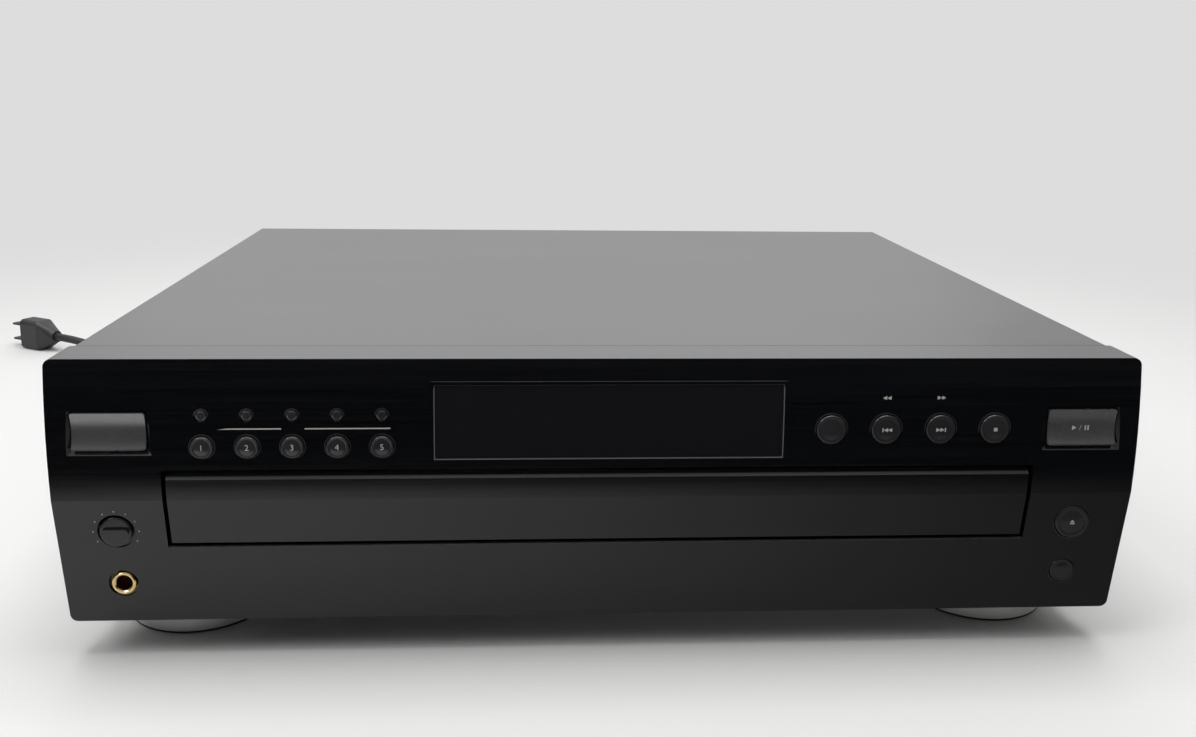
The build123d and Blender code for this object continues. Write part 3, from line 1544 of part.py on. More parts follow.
# ---------------------------------------------------------------- power supply and rear jacks
transformer_y = front_y + transformer_setback
with BuildPart() as power_transformer:
    with BuildSketch(level(base_top)):
        with Locations((transformer_x, transformer_y)):
            Rectangle(core_size[0], core_size[1])
    extrude(amount=core_size[2])
    with BuildSketch(level(base_top + (core_size[2] - coil_former_size[2]) / 2)):
        with Locations((transformer_x, transformer_y)):
            Rectangle(core_size[0] + 2, coil_former_size[1])
    extrude(amount=coil_former_size[2])
    with BuildSketch(level(base_top)):
        with Locations((transformer_x, transformer_y)):
            Rectangle(core_size[0] / 2, core_size[1] + 18)
    extrude(amount=plate)
finish(power_transformer, "power_transformer")

jack_block_depth = 12.0
jack_block_width = 14.0
jack_block_height = line_jack_spacing * 2
with BuildPart() as rear_jacks:
    with BuildSketch(facing(body_depth - plate)):
        with Locations((line_jack_x, line_jack_z), (control_jack_x, line_jack_z)):
            Rectangle(jack_block_width, jack_block_height)
    extrude(amount=jack_block_depth)
    with BuildSketch(facing(body_depth + jack_reach)):
        with Locations(*line_jack_places):
            Circle(line_jack_radius)
    extrude(amount=jack_reach + plate)
    with BuildSketch(facing(body_depth + line_jack_collar_proud)):
        with Locations(*line_jack_places):
            Circle(line_jack_radius + line_jack_collar)
    extrude(amount=line_jack_collar_proud + plate)
    with BuildSketch(facing(body_depth + 1)):
        with Locations(*control_jack_places):
            Circle(control_jack_radius + 1)
    extrude(amount=1 + plate)
    with BuildSketch(facing(body_depth + jack_reach)):
        with Locations(*line_jack_places):
            Circle(line_jack_bore)
    extrude(amount=jack_reach + jack_block_depth / 2, mode=Mode.SUBTRACT)
    with BuildSketch(facing(body_depth + 1)):
        with Locations(*control_jack_places):
            Circle(control_jack_radius)
    extrude(amount=control_jack_length, mode=Mode.SUBTRACT)
finish(rear_jacks, "rear_jacks")

# ---------------------------------------------------------------- strain relief, cord and plug
cord_radius = cord_diameter / 2
relief_tip = cord_radius + 1.2
with BuildPart() as strain_relief:
    with BuildSketch(facing(body_depth)):
        with Locations((relief_x, relief_z)):
            Circle(relief_flange_radius)
    extrude(amount=-relief_flange)
    with BuildSketch(facing(body_depth + relief_flange)):
        with Locations((relief_x, relief_z)):
            Circle(relief_flange_radius - relief_flange)
    with BuildSketch(facing(body_depth + relief_length)):
        with Locations((relief_x, relief_z)):
            Circle(relief_tip)
    loft()
    with BuildSketch(facing(body_depth)):
        with Locations((relief_x, relief_z)):
            Circle(relief_flange_radius - relief_flange - fit_gap)
    extrude(amount=plate)
    with BuildSketch(facing(body_depth - plate)):
        with Locations((relief_x, relief_z)):
            Circle(relief_flange_radius - fit_gap)
    extrude(amount=relief_flange)
finish(strain_relief, "strain_relief")

coil_pitch = cord_diameter + 0.7
coil_inner_radius = 25.0
coil_turns = 6.25
coil_layer_step = cord_diameter + 0.7
coil_centre = (-187.0, 336.0)
coil_reverse = coil_turns * pi  # the angle at which the spiral turns outwards again
quarter = pi / 2
coil_floor = cord_radius + 0.05


def coil_radius(angle):
    """Distance from the coil's middle at this angle along it."""
    away = abs(angle - coil_reverse)
    rate = coil_pitch / (2 * pi)
    if away > quarter:
        return coil_inner_radius + rate * away
    return coil_inner_radius + rate * (quarter / 2 + away**2 / (2 * quarter))


def coil_height(angle):
    """Height of the cord's middle at this angle: one layer, a climb in half a turn, one layer."""
    share = min(1.0, max(0.0, (angle - coil_reverse + quarter) / (2 * quarter)))
    return coil_floor + coil_layer_step * (1 - cos(pi * share)) / 2


def coil_point(angle):
    """A point on the coil's centre line."""
    radius = coil_radius(angle)
    return Vector(
        coil_centre[0] + radius * cos(angle), coil_centre[1] + radius * sin(angle), coil_height(angle)
    )


def coil_tangent(angle):
    """The coil's direction at this angle."""
    step = 0.0005
    return (coil_point(angle + step) - coil_point(angle - step)).normalized()


def biarc(start, start_way, end, end_way):
    """Two tangent arcs between two points with given directions, in the line that is open."""
    chord = end - start
    both = start_way + end_way
    spread = 2 * (1 - start_way.dot(end_way))
    across = chord.dot(both)
    reach = (-across + sqrt(across**2 + spread * chord.dot(chord))) / spread
    middle = (start + end) / 2 + (start_way - end_way) * (reach / 2)
    TangentArc(start, middle, tangent=start_way)
    TangentArc(end, middle, tangent=end_way * -1)


coil_end_angle = 2 * pi * coil_turns
coil_quarters = round(coil_end_angle / quarter)
coil_start = coil_point(0)
coil_start_way = coil_tangent(0)
coil_finish = coil_point(coil_end_angle)
coil_finish_way = coil_tangent(coil_end_angle)
coil_in = coil_start - coil_start_way * cord_diameter
coil_out = coil_finish + coil_finish_way * cord_diameter

with BuildPart() as cord_coil:
    with BuildLine() as coil_path:
        Line(coil_in, coil_start)
        for step in range(coil_quarters):
            here = quarter * step
            there = quarter * (step + 1)
            biarc(coil_point(here), coil_tangent(here), coil_point(there), coil_tangent(there))
        Line(coil_finish, coil_out)
    with BuildSketch(Plane(coil_in, z_dir=coil_start_way)):
        Circle(cord_radius)
    sweep()
finish(cord_coil, "cord_coil")

gap_samples = 48
gap_points = [coil_point(2 * pi * i / gap_samples) for i in range(round(gap_samples * coil_turns))]
least_gap = min(
    (gap_points[i] - gap_points[j]).length - cord_diameter
    for i in range(len(gap_points))
    for j in range(i + gap_samples // 2, len(gap_points))
)
print("coil length", round(coil_path.wires()[0].length, 1), "least gap", round(least_gap, 2))

relief_end = Vector(relief_x, rear_y + relief_length, relief_z)
lead_bend = coil_in - coil_start_way * 30
lead_points = [
    tuple(relief_end),
    (relief_x, rear_y + relief_length + 24, relief_z),
    (relief_x + (lead_bend.X - relief_x) / 2, rear_y + relief_length + 54, relief_z / 2 - 2),
    tuple(lead_bend),
    tuple(coil_in),
]
plug_heading = radians(150)
plug_back = Vector(-424.0, 346.0, plug_height / 2)
plug_way = Vector(cos(plug_heading), sin(plug_heading), 0)
tail_points = [
    tuple(coil_out),
    tuple(coil_out + coil_finish_way * 34),
    (coil_out.X - 74, coil_out.Y + 2.0, coil_floor + 1.0),
    (coil_out.X - 118, coil_out.Y - 9.0, coil_floor),
    (-350.0, 348.0, coil_floor),
    (-382.0, 333.0, cord_radius + 2.0),
    tuple(plug_back - plug_way * 22),
    tuple(plug_back),
]


def corner_radii(points):
    """For each corner of a route, 0.45 of its shorter run over the tangent of half its turn."""
    vectors = [Vector(*point) for point in points]
    radii = []
    for before, corner, after in zip(vectors, vectors[1:], vectors[2:]):
        run_in = corner - before
        run_out = after - corner
        turn = radians(run_in.get_angle(run_out))
        radii.append(0.45 * min(run_in.length, run_out.length) / tan(turn / 2))
    return radii


def cord_tube(points, name):
    """A round tube along straight runs joined by tangent arcs, with its radii printed."""
    radii = corner_radii(points)
    with BuildPart() as tube:
        with BuildLine() as route:
            FilletPolyline(*points, radius=tuple(radii))
        first = Vector(*points[1]) - Vector(*points[0])
        with BuildSketch(Plane(points[0], z_dir=first)):
            Circle(cord_radius)
        sweep()
    print(name, "radii", [round(r, 1) for r in radii], "length", round(route.wires()[0].length, 1))
    print(name, "volume share", round(tube.part.volume / (pi * cord_radius**2 * route.wires()[0].length), 4))
    return tube.part


with BuildPart() as mains_cord:
    add(cord_tube(lead_points, "lead"))
    add(cord_tube(tail_points, "tail"))
finish(mains_cord, "mains_cord")

plug_neck = 5.0
plug_plane = Plane(plug_back, x_dir=(-plug_way.Y, plug_way.X, 0), z_dir=plug_way)
with BuildPart() as mains_plug:
    with BuildSketch(plug_plane):
        Circle(plug_neck)
    with BuildSketch(plug_plane.offset(plug_length * 0.45)):
        RectangleRounded(plug_thickness, plug_height, 4.0)
    loft()
    with BuildSketch(plug_plane.offset(plug_length * 0.45)):
        RectangleRounded(plug_thickness, plug_height, 4.0)
    extrude(amount=plug_length * 0.55)
    with BuildSketch(plug_plane.offset(plug_length)):
        with Locations((0, -blade_spacing / 2), (0, blade_spacing / 2)):
            Rectangle(blade_width, blade_thickness)
    extrude(amount=blade_length)
finish(mains_plug, "mains_plug")
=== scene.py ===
import json
from math import cos, pi, radians, sin

import bpy
from mathutils import Matrix, Vector

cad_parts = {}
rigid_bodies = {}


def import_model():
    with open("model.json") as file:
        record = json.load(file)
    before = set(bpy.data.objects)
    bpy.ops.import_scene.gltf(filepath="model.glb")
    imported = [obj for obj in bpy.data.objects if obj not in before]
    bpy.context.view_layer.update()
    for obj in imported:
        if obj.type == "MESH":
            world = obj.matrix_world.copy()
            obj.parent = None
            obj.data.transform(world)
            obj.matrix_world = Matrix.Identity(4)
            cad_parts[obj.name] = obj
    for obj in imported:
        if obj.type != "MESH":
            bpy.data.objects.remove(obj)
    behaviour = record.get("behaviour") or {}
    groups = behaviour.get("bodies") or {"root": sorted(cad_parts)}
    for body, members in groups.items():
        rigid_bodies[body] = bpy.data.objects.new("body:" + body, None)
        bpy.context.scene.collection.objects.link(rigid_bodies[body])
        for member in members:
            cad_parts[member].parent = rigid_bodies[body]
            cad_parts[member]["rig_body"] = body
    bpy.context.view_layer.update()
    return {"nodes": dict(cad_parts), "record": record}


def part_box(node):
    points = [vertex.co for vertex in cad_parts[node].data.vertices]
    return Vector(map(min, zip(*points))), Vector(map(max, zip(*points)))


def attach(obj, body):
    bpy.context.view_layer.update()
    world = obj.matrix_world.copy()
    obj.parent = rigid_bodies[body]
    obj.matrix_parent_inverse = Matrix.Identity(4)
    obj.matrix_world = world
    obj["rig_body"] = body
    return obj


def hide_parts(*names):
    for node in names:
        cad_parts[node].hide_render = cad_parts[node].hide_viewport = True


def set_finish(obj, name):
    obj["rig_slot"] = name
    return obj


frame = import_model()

nodes = frame["nodes"]
MM = 0.001

# ---------------------------------------------------------------- places shared with the frame
CROWN_HEIGHT = 84.0
CREASE_HEIGHT = 72.0
CREASE_SETBACK = 0.35
BOTTOM_HEIGHT = 16.5
BOTTOM_SETBACK = 10.0
TOP_HEIGHT = 128.5
TOP_SETBACK = 3.6
CROWN_RADIUS = ((TOP_HEIGHT - CROWN_HEIGHT) ** 2 + TOP_SETBACK**2) / (2 * TOP_SETBACK)
FRONT_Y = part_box("front_fascia")[0][1] / MM
PRINT_LIFT = 0.06  # how far printed marks stand out of the face
PRINT_BACK = 0.01
MARK_THICKNESS = 0.04
KEY_X = 193.9
KEY_Z = 100.2
SIDE_X = 194.3  # the knob, the jack and the two side buttons are this far from the middle
KNOB_Z = 58.3
JACK_Z = 34.3
OPEN_Z = 58.8
OPEN_RADIUS = 7.0
EXCHANGE_Z = 35.2
EXCHANGE_RADIUS = 5.1
DISC_COUNT = 5
DISC_X = [-158.4 + 17.4 * i for i in range(DISC_COUNT)]
DISC_Z = 93.9
DISC_RADIUS = 4.4
SMALL_Z = 106.4
TRANSPORT_X = [90.1 + 22.4 * i for i in range(4)]
TRANSPORT_Z = 99.8
TRANSPORT_RADIUS = 6.0
SEARCH_MARK_Z = 112.6


def setback(z):
    """How far back the front's outer face lies at height z, in millimetres."""
    if z < CREASE_HEIGHT:
        share = (CREASE_HEIGHT - z) / (CREASE_HEIGHT - BOTTOM_HEIGHT)
        return CREASE_SETBACK + share * (BOTTOM_SETBACK - CREASE_SETBACK)
    if z < CROWN_HEIGHT:
        share = (CROWN_HEIGHT - z) / (CROWN_HEIGHT - CREASE_HEIGHT)
        return CREASE_SETBACK * share**2
    return (z - CROWN_HEIGHT) ** 2 / (2 * CROWN_RADIUS)


def on_face(x, z, out=0.0):
    """A point on the front's outer face, out millimetres in front of it, in metres."""
    return Vector((x, FRONT_Y + setback(z) - out, z)) * MM


# ---------------------------------------------------------------- materials
COVER_GREY = (0.105, 0.105, 0.107)
STRIP_ROUGHNESS = 0.42
UPWARD_START, UPWARD_END = 0.80, 0.92  # how far a face points up where the fascia turns satin grey
CAD_CREASE_ANGLE = 30
PIECE_CREASE_ANGLE = 32


class Shader:
    """A material with one main shader, and the few kinds of node that it takes."""

    def __init__(self, name, color, rough, metallic=0.0):
        self.material = bpy.data.materials.new(name)
        self.material.use_nodes = True
        self.tree = self.material.node_tree
        self.main = self.tree.nodes["Principled BSDF"]
        self.set("Base Color", (*color, 1))
        self.set("Roughness", rough)
        self.set("Metallic", metallic)
        self.place = self.add("ShaderNodeTexCoord").outputs["Object"]

    def set(self, socket, value):
        self.main.inputs[socket].default_value = value

    def add(self, kind, **settings):
        node = self.tree.nodes.new(kind)
        for key, value in settings.items():
            setattr(node, key, value)
        return node

    def link(self, start, end):
        self.tree.links.new(start, end)

    def stretched(self, scale):
        mapping = self.add("ShaderNodeMapping")
        mapping.inputs["Scale"].default_value = scale
        self.link(self.place, mapping.inputs["Vector"])
        return mapping.outputs["Vector"]

    def noise(self, scale, stretch=(1, 1, 1), detail=3.0):
        node = self.add("ShaderNodeTexNoise")
        node.inputs["Scale"].default_value = scale
        node.inputs["Detail"].default_value = detail
        self.link(self.stretched(stretch), node.inputs["Vector"])
        return node.outputs["Fac"]

    def ramp(self, factor, low, high, start=0.3, end=0.7):
        node = self.add("ShaderNodeValToRGB")
        node.color_ramp.elements[0].position = start
        node.color_ramp.elements[0].color = (*low, 1)
        node.color_ramp.elements[1].position = end
        node.color_ramp.elements[1].color = (*high, 1)
        self.link(factor, node.inputs["Fac"])
        return node.outputs["Color"]

    def between(self, factor, low, high):
        node = self.add("ShaderNodeMapRange")
        node.inputs["To Min"].default_value = low
        node.inputs["To Max"].default_value = high
        self.link(factor, node.inputs["Value"])
        return node.outputs["Result"]

    def bump(self, height, strength, distance):
        node = self.add("ShaderNodeBump")
        node.inputs["Strength"].default_value = strength
        node.inputs["Distance"].default_value = distance
        self.link(height, node.inputs["Height"])
        self.link(node.outputs["Normal"], self.main.inputs["Normal"])

    def drive(self, output, socket):
        self.link(output, self.main.inputs[socket])


def grey(value):
    return (value, value, value)


def mix(a, b, share):
    return tuple(p + (q - p) * share for p, q in zip(a, b))


def grained(name, color, rough, scale=900, vary=0.12, strength=0.12, distance=0.0001, metallic=0.0):
    """A moulded or painted surface with a fine grain and slightly uneven tone."""
    shader = Shader(name, color, rough, metallic)
    tone = shader.noise(scale / 30)
    shader.drive(shader.ramp(tone, mix(color, grey(0), vary), mix(color, grey(1), vary / 8)), "Base Color")
    shader.drive(shader.between(tone, rough * 0.9, min(1, rough * 1.12)), "Roughness")
    shader.bump(shader.noise(scale), strength, distance)
    return shader


def brushed(name, color, rough, stretch, metallic=1.0, strength=0.15, distance=0.00005):
    """A metal or plastic with fine lines along one axis."""
    shader = Shader(name, color, rough, metallic)
    lines = shader.noise(60, stretch, 5.0)
    shader.drive(shader.ramp(lines, mix(color, grey(0), 0.16), mix(color, grey(1), 0.08)), "Base Color")
    shader.drive(shader.between(lines, rough * 0.75, min(1, rough * 1.3)), "Roughness")
    shader.bump(lines, strength, distance)
    return shader


def cover_paint():
    """Satin dark grey paint, faintly cloudy from wear."""
    shader = Shader("cover_paint", COVER_GREY, 0.40)
    clouds = shader.noise(9, (1, 2.2, 1), 5.0)
    darker = mix(COVER_GREY, grey(0), 0.07)
    lighter = mix(COVER_GREY, grey(1), 0.012)
    shader.drive(shader.ramp(clouds, darker, lighter), "Base Color")
    shader.drive(shader.between(clouds, 0.36, 0.46), "Roughness")
    shader.bump(shader.noise(1500), 0.10, 0.00008)
    return shader


def fascia_gloss():
    """Black plastic with a clear gloss over fine level brushing, and satin grey on its top."""
    shader = Shader("fascia_gloss", (0.008, 0.009, 0.010), 0.14)
    lines = shader.noise(36, (0.35, 1, 30), 5.0)
    geometry = shader.add("ShaderNodeNewGeometry")
    parts = shader.add("ShaderNodeSeparateXYZ")
    shader.link(geometry.outputs["True Normal"], parts.inputs["Vector"])
    upward = shader.between(parts.outputs["Z"], 0, 1)
    upward.node.inputs["From Min"].default_value = UPWARD_START
    upward.node.inputs["From Max"].default_value = UPWARD_END
    tone = shader.ramp(lines, (0.0018, 0.002, 0.0024), (0.0045, 0.005, 0.006))
    blend = shader.add("ShaderNodeMix", data_type="RGBA")
    shader.link(upward, blend.inputs["Factor"])
    shader.link(tone, blend.inputs["A"])
    blend.inputs["B"].default_value = (*COVER_GREY, 1)
    shader.drive(blend.outputs["Result"], "Base Color")
    gloss = shader.between(lines, 0.09, 0.19)
    rough = shader.add("ShaderNodeMix", data_type="FLOAT")
    shader.link(upward, rough.inputs["Factor"])
    shader.link(gloss, rough.inputs["A"])
    rough.inputs["B"].default_value = STRIP_ROUGHNESS
    shader.drive(rough.outputs["Result"], "Roughness")
    shader.bump(lines, 0.035, 0.00003)
    return shader


def smoked_window():
    """Near-black glossy acrylic, too dark to show the display behind it."""
    shader = Shader("smoked_window", (0.008, 0.008, 0.010), 0.04)
    shader.set("Coat Weight", 0.6)
    shader.set("Coat Roughness", 0.03)
    return shader


FINISH = {
    "cover": cover_paint(),
    "steel": brushed("zinc_sheet", (0.50, 0.51, 0.52), 0.38, (30, 1, 30)),
    "panel": grained("panel_paint", grey(0.016), 0.45, 1200),
    "fascia": fascia_gloss(),
    "window": smoked_window(),
    "foot": grained("foot_silver", (0.74, 0.73, 0.71), 0.32, 900, 0.05, 0.02, 0.0001, 0.2),
    "pad": grained("pad_rubber", grey(0.012), 0.8, 700),
    "screw": brushed("screw_black", grey(0.03), 0.3, (1, 1, 1), 0.9),
    "key": grained("key_silver", (0.20, 0.20, 0.205), 0.27, 900, 0.06, 0.02, 0.0001, 0.75),
    "button": grained("button_black", (0.014, 0.014, 0.016), 0.12, 300, 0.1, 0.01),
    "knob": grained("knob_black", (0.010, 0.010, 0.011), 0.16, 300, 0.1, 0.01),
    "jack": brushed("jack_gold", (0.78, 0.56, 0.20), 0.18, (1, 1, 1), 1.0, 0.02),
    "board": grained("board_green", (0.025, 0.10, 0.04), 0.4, 500),
    "tube": grained("tube_glass", (0.035, 0.045, 0.045), 0.08, 200, 0.1, 0.01),
    "core": grained("core_varnish", (0.09, 0.06, 0.045), 0.45, 500),
    "jack_block": grained("jack_block_black", grey(0.02), 0.5),
    "ribbon": grained("ribbon_white", (0.62, 0.62, 0.58), 0.5),
    "cord": grained("cord_black", grey(0.006), 0.5, 1200),
    "moulding": grained("moulding_black", grey(0.014), 0.45, 1200),
    "mechanism": grained("mechanism_grey", (0.045, 0.045, 0.048), 0.5, 1100),
    "gear": grained("gear_white", (0.68, 0.66, 0.60), 0.45),
    "cam": grained("cam_white", (0.60, 0.60, 0.55), 0.45),
    "motor": brushed("motor_can", (0.55, 0.55, 0.55), 0.32, (1, 1, 20)),
    "belt": grained("belt_rubber", grey(0.012), 0.7),
    "rod": brushed("rod_steel", grey(0.62), 0.18, (20, 1, 20)),
    "deck": grained("deck_black", (0.024, 0.024, 0.026), 0.5, 1100),
}
EXTRA = {
    "print": Shader("print_grey", (0.40, 0.395, 0.37), 0.5),
    # the rim's light grey is a painted highlight of the window's bevelled edge
    "rim": Shader("rim_painted_highlight", grey(0.11), 0.3),
    "lens": Shader("lens_blue", (0.02, 0.03, 0.10), 0.04),
    "pin_metal": brushed("pin_metal", (0.66, 0.62, 0.54), 0.25, (1, 1, 12)),
    "red": grained("jack_red", (0.45, 0.03, 0.02), 0.4),
    "white": grained("jack_white", (0.75, 0.74, 0.70), 0.4),
}
for row in frame["record"]["subparts"]:
    mesh = nodes[row["node"]].data
    mesh.materials.clear()
    mesh.materials.append(FINISH[row["material_slot"]].material)


def soften(name):
    """Smooth shading on round faces and sharp shading on edges, on a CAD node."""
    for polygon in nodes[name].data.polygons:
        polygon.use_smooth = True
    nodes[name].data.set_sharp_from_angle(angle=radians(CAD_CREASE_ANGLE))


for name in nodes:
    soften(name)


# ---------------------------------------------------------------- making pieces
def piece(name, vertices, faces, body, material, slot, smooth=True):
    """A mesh piece that rides on a body."""
    mesh = bpy.data.meshes.new(name)
    mesh.from_pydata([tuple(v) for v in vertices], [], faces)
    mesh.validate()
    mesh.update()
    shape = bpy.data.objects.new(name, mesh)
    bpy.context.scene.collection.objects.link(shape)
    shape.data.materials.append(material.material)
    if smooth:
        for polygon in mesh.polygons:
            polygon.use_smooth = True
        mesh.set_sharp_from_angle(angle=radians(PIECE_CREASE_ANGLE))
    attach(shape, body)
    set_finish(shape, slot)
    return shape


def turned(name, profile, matrix, body, material, slot, steps=48, close=True):
    """A round piece: (radius, height) pairs in millimetres turned about Z, then placed by matrix."""
    vertices, faces = [], []
    count = len(profile)
    for step in range(steps):
        angle = 2 * pi * step / steps
        for radius, height in profile:
            point = Vector((radius * cos(angle), radius * sin(angle), height)) * MM
            vertices.append(matrix @ point)
    for step in range(steps):
        here, there = step * count, (step + 1) % steps * count
        for i in range(count if close else count - 1):
            j = (i + 1) % count
            faces.append((here + i, there + i, there + j, here + j))
    return piece(name, vertices, faces, body, material, slot)


def facing_front(x, z, out=0.0):
    """A matrix whose Z axis points out of the front and whose X axis points right."""
    place = Matrix.Translation(on_face(x, z, out))
    turn = Matrix(((1, 0, 0), (0, 0, -1), (0, 1, 0))).to_4x4()
    return place @ turn


def facing_rear(x, y, z):
    """A matrix whose Z axis points out of the rear."""
    place = Matrix.Translation(Vector((x, y, z)) * MM)
    turn = Matrix(((-1, 0, 0), (0, 0, 1), (0, 1, 0))).to_4x4()
    return place @ turn


def slab(name, outline, matrix, thickness, body, material, slot):
    """A flat plate: an outline in millimetres, extruded along the matrix's Z axis."""
    count = len(outline)
    vertices = [matrix @ (Vector((x, y, h)) * MM) for h in (0, thickness) for x, y in outline]
    faces = [tuple(reversed(range(count))), tuple(range(count, 2 * count))]
    faces += [(i, (i + 1) % count, count + (i + 1) % count, count + i) for i in range(count)]
    return piece(name, vertices, faces, body, material, slot, smooth=False)


def joined(name, parts):
    """Several mesh pieces made into one."""
    first = parts[0]
    vertices, faces = [], []
    for part in parts:
        base = len(vertices)
        vertices += [v.co.copy() for v in part.data.vertices]
        faces += [tuple(base + i for i in polygon.vertices) for polygon in part.data.polygons]
    body = first["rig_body"]
    material = first.data.materials[0]
    slot = first.get("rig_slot")
    mesh = bpy.data.meshes.new(name)
    mesh.from_pydata([tuple(v) for v in vertices], [], faces)
    mesh.update()
    mesh.materials.append(material)
    for part in parts:
        bpy.data.objects.remove(part)
    shape = bpy.data.objects.new(name, mesh)
    bpy.context.scene.collection.objects.link(shape)
    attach(shape, body)
    if slot:
        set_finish(shape, slot)
    return shape


def flat_words(name, words, size, thickness):
    """The mesh of words set flat about their middle, with sizes in millimetres."""
    curve = bpy.data.curves.new(name, "FONT")
    curve.body = words
    curve.size = size * MM
    curve.align_x = "CENTER"
    curve.align_y = "CENTER"
    curve.extrude = thickness * MM
    text = bpy.data.objects.new(name + "_text", curve)
    bpy.context.scene.collection.objects.link(text)
    bpy.context.view_layer.update()
    mesh = bpy.data.meshes.new_from_object(text.evaluated_get(bpy.context.evaluated_depsgraph_get()))
    bpy.data.objects.remove(text)
    return mesh


def lettering(name, words, size, thickness, matrix, body):
    """Printed numbers, placed by matrix."""
    mesh = flat_words(name, words, size, thickness)
    vertices = [matrix @ v.co for v in mesh.vertices]
    faces = [tuple(polygon.vertices) for polygon in mesh.polygons]
    return piece(name, vertices, faces, body, EXTRA["print"], "key", smooth=False)


# ---------------------------------------------------------------- marks on the front
LINE_LOW, LINE_HIGH = 100.9, 101.4


def group_line(name, x0, x1):
    """A printed line between the two rows of buttons, from x0 to x1."""
    outline = ((x0, LINE_LOW), (x1, LINE_LOW), (x1, LINE_HIGH), (x0, LINE_HIGH))
    corners = [on_face(x, z, PRINT_LIFT) for x, z in outline]
    corners += [on_face(x, z, PRINT_BACK) for x, z in outline]
    faces = [(0, 1, 2, 3), (7, 6, 5, 4), (0, 4, 5, 1), (1, 5, 6, 2), (2, 6, 7, 3), (3, 7, 4, 0)]
    return piece(name, corners, faces, "case", EXTRA["print"], "key", smooth=False)


group_line("group_line_left", -161.6, -127.8)
group_line("group_line_right", -118.7, -85.5)


def triangle(x, z, width, height):
    """The three corners of a triangle that points along +x from its middle."""
    return [(x - width / 2, z - height / 2), (x + width / 2, z), (x - width / 2, z + height / 2)]


def mark(name, outlines, x, z, out, body):
    """Printed symbols made of flat outlines, centred on a button or on the face."""
    place = facing_front(x, z, out)
    shapes = [
        slab(f"{name}_{number}", outline, place, MARK_THICKNESS, body, EXTRA["print"], "key")
        for number, outline in enumerate(outlines)
    ]
    return joined(name, shapes)


def bar(x, z, width, height):
    """The corners of an upright bar."""
    return [
        (x - width / 2, z - height / 2),
        (x + width / 2, z - height / 2),
        (x + width / 2, z + height / 2),
        (x - width / 2, z + height / 2),
    ]


def mirrored(outline):
    return [(-x, z) for x, z in reversed(outline)]


ARROW = 1.7
PAIR = [triangle(-0.9, 0, ARROW, ARROW), triangle(0.9, 0, ARROW, ARROW)]
BACK_PAIR = [mirrored(outline) for outline in PAIR]
NEXT = [triangle(-1.3, 0, ARROW, ARROW), triangle(0.4, 0, ARROW, ARROW), bar(1.6, 0, 0.45, ARROW)]
PREVIOUS = [mirrored(outline) for outline in NEXT]
PLAY_PAUSE = [
    triangle(-2.9, 0, 1.9, 2.1),
    [(-0.95, -1.0), (-0.7, -1.0), (0.15, 1.0), (-0.10, 1.0)],
    bar(1.7, 0, 0.6, 2.0),
    bar(2.9, 0, 0.6, 2.0),
]
EJECT = [[(-1.0, -0.15), (1.0, -0.15), (0, 0.95)], bar(0, -0.7, 2.0, 0.4)]
STOP = [bar(0, 0, 1.5, 1.5)]

mark("search_mark_back", BACK_PAIR, TRANSPORT_X[1], SEARCH_MARK_Z, PRINT_LIFT, "case")
mark("search_mark_forward", PAIR, TRANSPORT_X[2], SEARCH_MARK_Z, PRINT_LIFT, "case")

# ---------------------------------------------------------------- round buttons
TRANSPORT_NAMES = ("skip_button", "search_back_button", "search_forward_button", "stop_button")
ROUND_BUTTONS = [(f"disc_button_{i + 1}", x, DISC_Z, DISC_RADIUS) for i, x in enumerate(DISC_X)]
ROUND_BUTTONS += [(name, x, TRANSPORT_Z, TRANSPORT_RADIUS) for name, x in zip(TRANSPORT_NAMES, TRANSPORT_X)]
ROUND_BUTTONS += [("open_close_button", SIDE_X, OPEN_Z, OPEN_RADIUS)]
ROUND_BUTTONS += [("exchange_button", SIDE_X, EXCHANGE_Z, EXCHANGE_RADIUS)]
NUMERAL_SIZE = 3.4
NUMERAL_THICKNESS = 0.02


def domed_cap(name, x, z, radius):
    """A round button: a rolled rim, a shallow valley and a domed middle, up to its solid's front."""
    top = FRONT_Y + setback(z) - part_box(name)[0][1] / MM
    back = FRONT_Y + setback(z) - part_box(name)[1][1] / MM
    profile = [
        (0.0, back),
        (radius * 0.94, back),
        (radius, back + 0.3),
        (radius, top - 0.85),
        (radius * 0.985, top - 0.55),
        (radius * 0.94, top - 0.30),
        (radius * 0.88, top - 0.20),
        (radius * 0.81, top - 0.28),
        (radius * 0.76, top - 0.42),
        (radius * 0.68, top - 0.38),
        (radius * 0.50, top - 0.18),
        (radius * 0.25, top - 0.06),
        (0.0, top - 0.02),
    ]
    cap = turned(name + "_cap", profile, facing_front(x, z), name, FINISH["button"], "button", close=False)
    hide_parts(name)
    return top


CAP_TOP = {name: domed_cap(name, x, z, radius) for name, x, z, radius in ROUND_BUTTONS}
for number, x in enumerate(DISC_X, 1):
    name = f"disc_button_{number}"
    place = facing_front(x, DISC_Z, CAP_TOP[name])
    lettering(f"numeral_{number}", str(number), NUMERAL_SIZE, NUMERAL_THICKNESS, place, name)
for name, outlines, x in (
    ("search_back_button", PREVIOUS, TRANSPORT_X[1]),
    ("search_forward_button", NEXT, TRANSPORT_X[2]),
    ("stop_button", STOP, TRANSPORT_X[3]),
):
    mark(name + "_mark", outlines, x, TRANSPORT_Z, CAP_TOP[name], name)
mark("open_close_mark", EJECT, SIDE_X, OPEN_Z, CAP_TOP["open_close_button"], "open_close_button")

# rings round the buttons and the jack, and dots round the knob
def ring_section(radius):
    """The section of the thin ring round a button of this radius."""
    inner = radius + 0.28
    return [(inner, -0.5), (radius + 0.9, -0.5), (radius + 0.85, 0.10), (radius + 0.45, 0.16), (inner, 0.0)]


